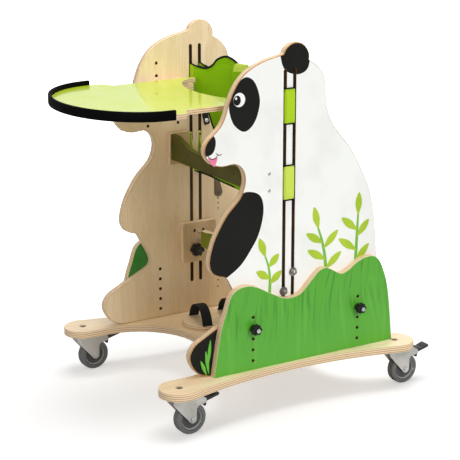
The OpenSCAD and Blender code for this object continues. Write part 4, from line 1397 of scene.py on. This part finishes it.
@dataclass
class AnchorTabs:
    """Strap tabs on the panels' inner faces, a leaning one over a straight one, with their screws."""

    thick: float = 2.5
    wide: float = 17.0
    tall: float = 34.0
    corner: float = 4.0
    reach: float = 58.0
    neck: float = 9.0
    round: float = 12.5
    head: float = 2.4

    def build(self) -> None:
        """Builds the tabs and their screws, each kind as one piece."""
        w, h = self.wide / 2 - self.corner, self.tall / 2 - self.corner
        upper = [(x + arm(a, self.corner)[0], y + arm(a, self.corner)[1])
                 for x, y, first in ((w, h, 0), (-w, h, 90), (-w, -h, 180), (w, -h, 270))
                 for a in range(first, first + 91, 18)]
        lower = [arm(a, self.round) for a in range(180, 379, 11)]
        lower += [(self.neck - self.round, self.reach), (-self.round, self.reach)]
        tabs, screws = [], []
        for side in Side:
            for place, lean, outline, hole, size, finish, head in (
                    ((36.0, 532.0), 15.0, upper, -6.0, 6.0, PLASTIC, ZINC),
                    ((74.0, 325.0), 0.0, lower, 0.0, 3.6, TAB_BROWN, DARK_STEEL)):
                c, s = arm(lean)
                turned = [(place[0] + u * c - v * s, BASE_TOP + place[1] + u * s + v * c)
                          for u, v in outline + [(0.0, hole)]]
                wall = side.value * PANEL_IN
                plate = outline_plate(f"tab_{side.word}", turned[:-1], wall, wall - side.value * self.thick)
                round_off(plate, finish, 0.4)
                tabs.append(plate)
                screws.append(self.screw(side, turned[-1], size, head))
        hand_in(joined(tabs), "frame", "webbing_black", "anchor_tabs")
        hand_in(joined(screws), "frame", "zinc", "anchor_rings")

    def screw(self, side: Side, place: Point, size: float, finish: Finish) -> Piece:
        """Domed screw of one tab at a place in y and z."""
        screw = basic(bpy.ops.mesh.primitive_cone_add, "Cone", vertices=28, radius1=size * MM,
                      radius2=size * 0.5 * MM, depth=self.head * MM)
        seat = spot(side.value * (PANEL_IN - self.thick - self.head / 2), *place)
        for vertex in screw.data.vertices:
            x, y, z = vertex.co
            vertex.co = seat + Vector((-side.value * z, x, y))
        edit(screw, face_out)
        round_off(screw, finish, 0.5, 3)
        return screw


@dataclass(frozen=True)
class Lamp:
    """Soft square lamp, in metres and watts."""

    name: str
    place: tuple[float, float, float]
    aim: tuple[float, float, float]
    size: float
    power: float

    def build(self) -> Piece:
        """Hangs the lamp and turns it to its aim."""
        data = bpy.data.lights.new(self.name, "AREA")
        data.size = self.size
        data.energy = self.power
        lamp = placed(self.name, data)
        lamp.location = self.place
        lamp.rotation_euler = (Vector(self.aim) - Vector(self.place)).to_track_quat("-Z", "Y").to_euler()
        return lamp


@dataclass
class Studio:
    """Camera, in millimetres and degrees, with lamps, floor and backdrop."""

    eye: tuple[float, float, float] = (3216.0, -1995.4, 1476.6)
    pitch: float = 15.846
    turn: float = 58.444
    lens: float = 119.457
    lamps: tuple[Lamp, ...] = (
        Lamp("key", (8.0, 0.9, 5.0), (0, 0, 0.45), 4.5, 505.0),
        Lamp("front", (0.6, -3.6, 2.4), (0, 0, 0.35), 2.6, 30.0),
        Lamp("top", (0.0, 0.2, 5.0), (0, 0, 0.2), 3.0, 185.0))

    def build(self) -> None:
        """Sets up the whole studio; the key lamp comes first, spares the floor and leaves no glare."""
        self.camera()
        spared = self.floor()
        self.surround()
        key, *_ = [lamp.build() for lamp in self.lamps]
        key.light_linking.receiver_collection = spared
        key.visible_glossy = False
        bpy.context.scene.view_settings.view_transform = "Standard"

    def camera(self) -> None:
        """Camera at the viewing angle of the photograph."""
        data = bpy.data.cameras.new("camera")
        data.sensor_width = 36.0
        data.lens = self.lens
        data.clip_end = 100.0
        camera = placed("camera", data)
        camera.location = spot(*self.eye)
        camera.rotation_euler = (math.radians(90 - self.pitch), 0, math.radians(self.turn))
        bpy.context.scene.camera = camera

    def floor(self) -> bpy.types.Collection:
        """White floor with a soft grey shadow of the object, in a collection that the key lamp spares."""
        floor = basic(bpy.ops.mesh.primitive_plane_add, "floor", size=60)
        material = bpy.data.materials.new("floor_pale")
        board = fresh_board(material)
        matt = board.add("BsdfDiffuse", Color=(0.97, 0.97, 0.97, 1))
        bright = board.add("Emission", Color=(1, 1, 1, 1), Strength=1.85)
        place = board.add("TexCoord").outputs["Object"]
        away = board.add("VectorMath", {"operation": "LENGTH"}, Vector=place).outputs["Value"]
        own_light = board.ramp(away, 0.6, 1.6, 0.28, 1.0)
        seen = board.add("LightPath").outputs["Is Camera Ray"]
        blend = board.add("MixShader", Fac=board.times(seen, own_light))
        board.feed(blend.inputs[1], matt.outputs[0])
        board.feed(blend.inputs[2], bright.outputs[0])
        board.add("OutputMaterial", Surface=blend.outputs[0])
        floor.data.materials.append(material)
        spared = bpy.data.collections.new("spared_by_key")
        spared.objects.link(floor)
        spared.collection_objects[0].light_linking.link_state = "EXCLUDE"
        return spared

    def surround(self) -> None:
        """White surround: seen as it is, mirrored as a ceiling with a bright patch behind the camera."""
        world = bpy.data.worlds.new("surround")
        bpy.context.scene.world = world
        board = fresh_board(world)
        path = board.add("LightPath").outputs
        way = board.add("TexCoord").outputs["Generated"]
        ceiling = board.ramp(board.split(way)["Z"], -0.1, 0.35, 0.2, 1.15)
        behind = tuple(Vector(self.eye).normalized())
        near = board.pair("VectorMath", {"operation": "DOT_PRODUCT"}, way, behind).outputs["Value"]
        patch = board.ramp(near, 0.9, 0.98, 0.0, 5.0)
        shine = board.times(path["Is Glossy Ray"], board.plus(ceiling, patch))
        strength = board.math("MAXIMUM", board.math("MAXIMUM", path["Is Camera Ray"], shine), 0.18)
        glow = board.add("Background", Color=(1, 1, 1, 1), Strength=strength)
        board.add("OutputWorld", Surface=glow.outputs[0])


def plugs(places: Sequence[Point] = ((111.0, 584.0), (194.0, 604.0)), radius: float = 2.8,
          depth: float = 1.2, sunk: float = 0.3) -> None:
    """Dark screw plugs in the front of the hip board.

    Args:
        places: Distance from the middle and height of each plug on one side, in millimetres.
        radius: Radius of a plug, in millimetres.
        depth: Depth of a plug, in millimetres.
        sunk: Distance of its middle behind the front, in millimetres.
    """
    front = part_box("hip_board")[0].y
    for side in Side:
        for x, z in places:
            plug = basic(bpy.ops.mesh.primitive_cylinder_add, f"hip_plug_{side.word}_{x:.0f}", vertices=20,
                         radius=radius * MM, depth=depth * MM)
            for vertex in plug.data.vertices:
                vertex.co = Vector((side.value * x * MM + vertex.co.x, front + sunk * MM - vertex.co.z,
                                    z * MM + vertex.co.y))
            round_off(plug, PLASTIC, 0.3)
            hand_in(plug, "frame", "knob_black")


def main() -> None:
    """Builds the studio and every sub-assembly in order."""
    logging.basicConfig(level=logging.INFO, format="%(name)s: %(message)s")
    Studio().build()
    SidePanels().build()
    for side in Side:
        PlyBoard(f"grass_board_{side.word}", Axis.X, MEADOW, MEADOW_BACK, EDGE_X, "grass_green",
                 outward=side.value).build()
        # The hip blocks take the darker birch, partly painted shade under the tray
        PlyBoard(f"hip_block_{side.word}", Axis.X, BIRCH_SHADED, BIRCH_SHADED, EDGE_X, "birch",
                 round_over=3.0).build()
        PlyBoard(f"tray_rail_{side.word}", Axis.Z, BIRCH_FLAT, BIRCH_FLAT, EDGE_Z, "birch").build()
    PlyBoard("base_board", Axis.Z, BIRCH_FLAT, BIRCH_FLAT, EDGE_Z, "birch", round_over=3.5).build()
    PlyBoard("tray_board", Axis.Z, LIME, BIRCH_FLAT, EDGE_Z, "tray_lime", "tray", round_over=1.5).build()
    # The hip board takes the darkened olive on faces and edges, as painted shade under the tray
    PlyBoard("hip_board", Axis.Y, SHADED_OLIVE, SHADED_OLIVE, SHADED_OLIVE, "board_lime").build()
    plugs()
    dress_copy("tray_trim", RUBBER, "tray", "trim_black", 2.2, 60.0)
    Belt("chest_belt", BASE_TOP + 645,
         edge_x=(0, 40, 60, 71, 86, 107, 130, 141, 153, 166, 182, 200),
         edge_top=(3, 4, 7, 13, 21, 25, 15, 1, -8, -11, -9, -6.5),
         edge_low=(-92, -92, -92, -92, -92, -92, -90, -80, -45, -18, -9, -6),
         loop=CHEST_LOOP, tongue_rise=15.0).build()
    Belt("hip_belt", BASE_TOP + 457,
         edge_x=(0, 60, 110, 150, 175, 198, 212),
         edge_top=(-33, -35, -41, -47, -51, -51, -8),
         edge_low=(-47, -44, -35, -23, -17, -15, -8),
         fold_top=BASE_TOP + 500).build()
    KneeSupport().build()
    Feet().build()
    Knobs().build()
    Castors().build()
    for node, finish in (("board_screws", ZINC), ("hip_screws", ZINC), ("castor_bolts", DARK_STEEL)):
        repaint(node, finish)
    AnchorTabs().build()


if __name__ == "__main__":
    main()
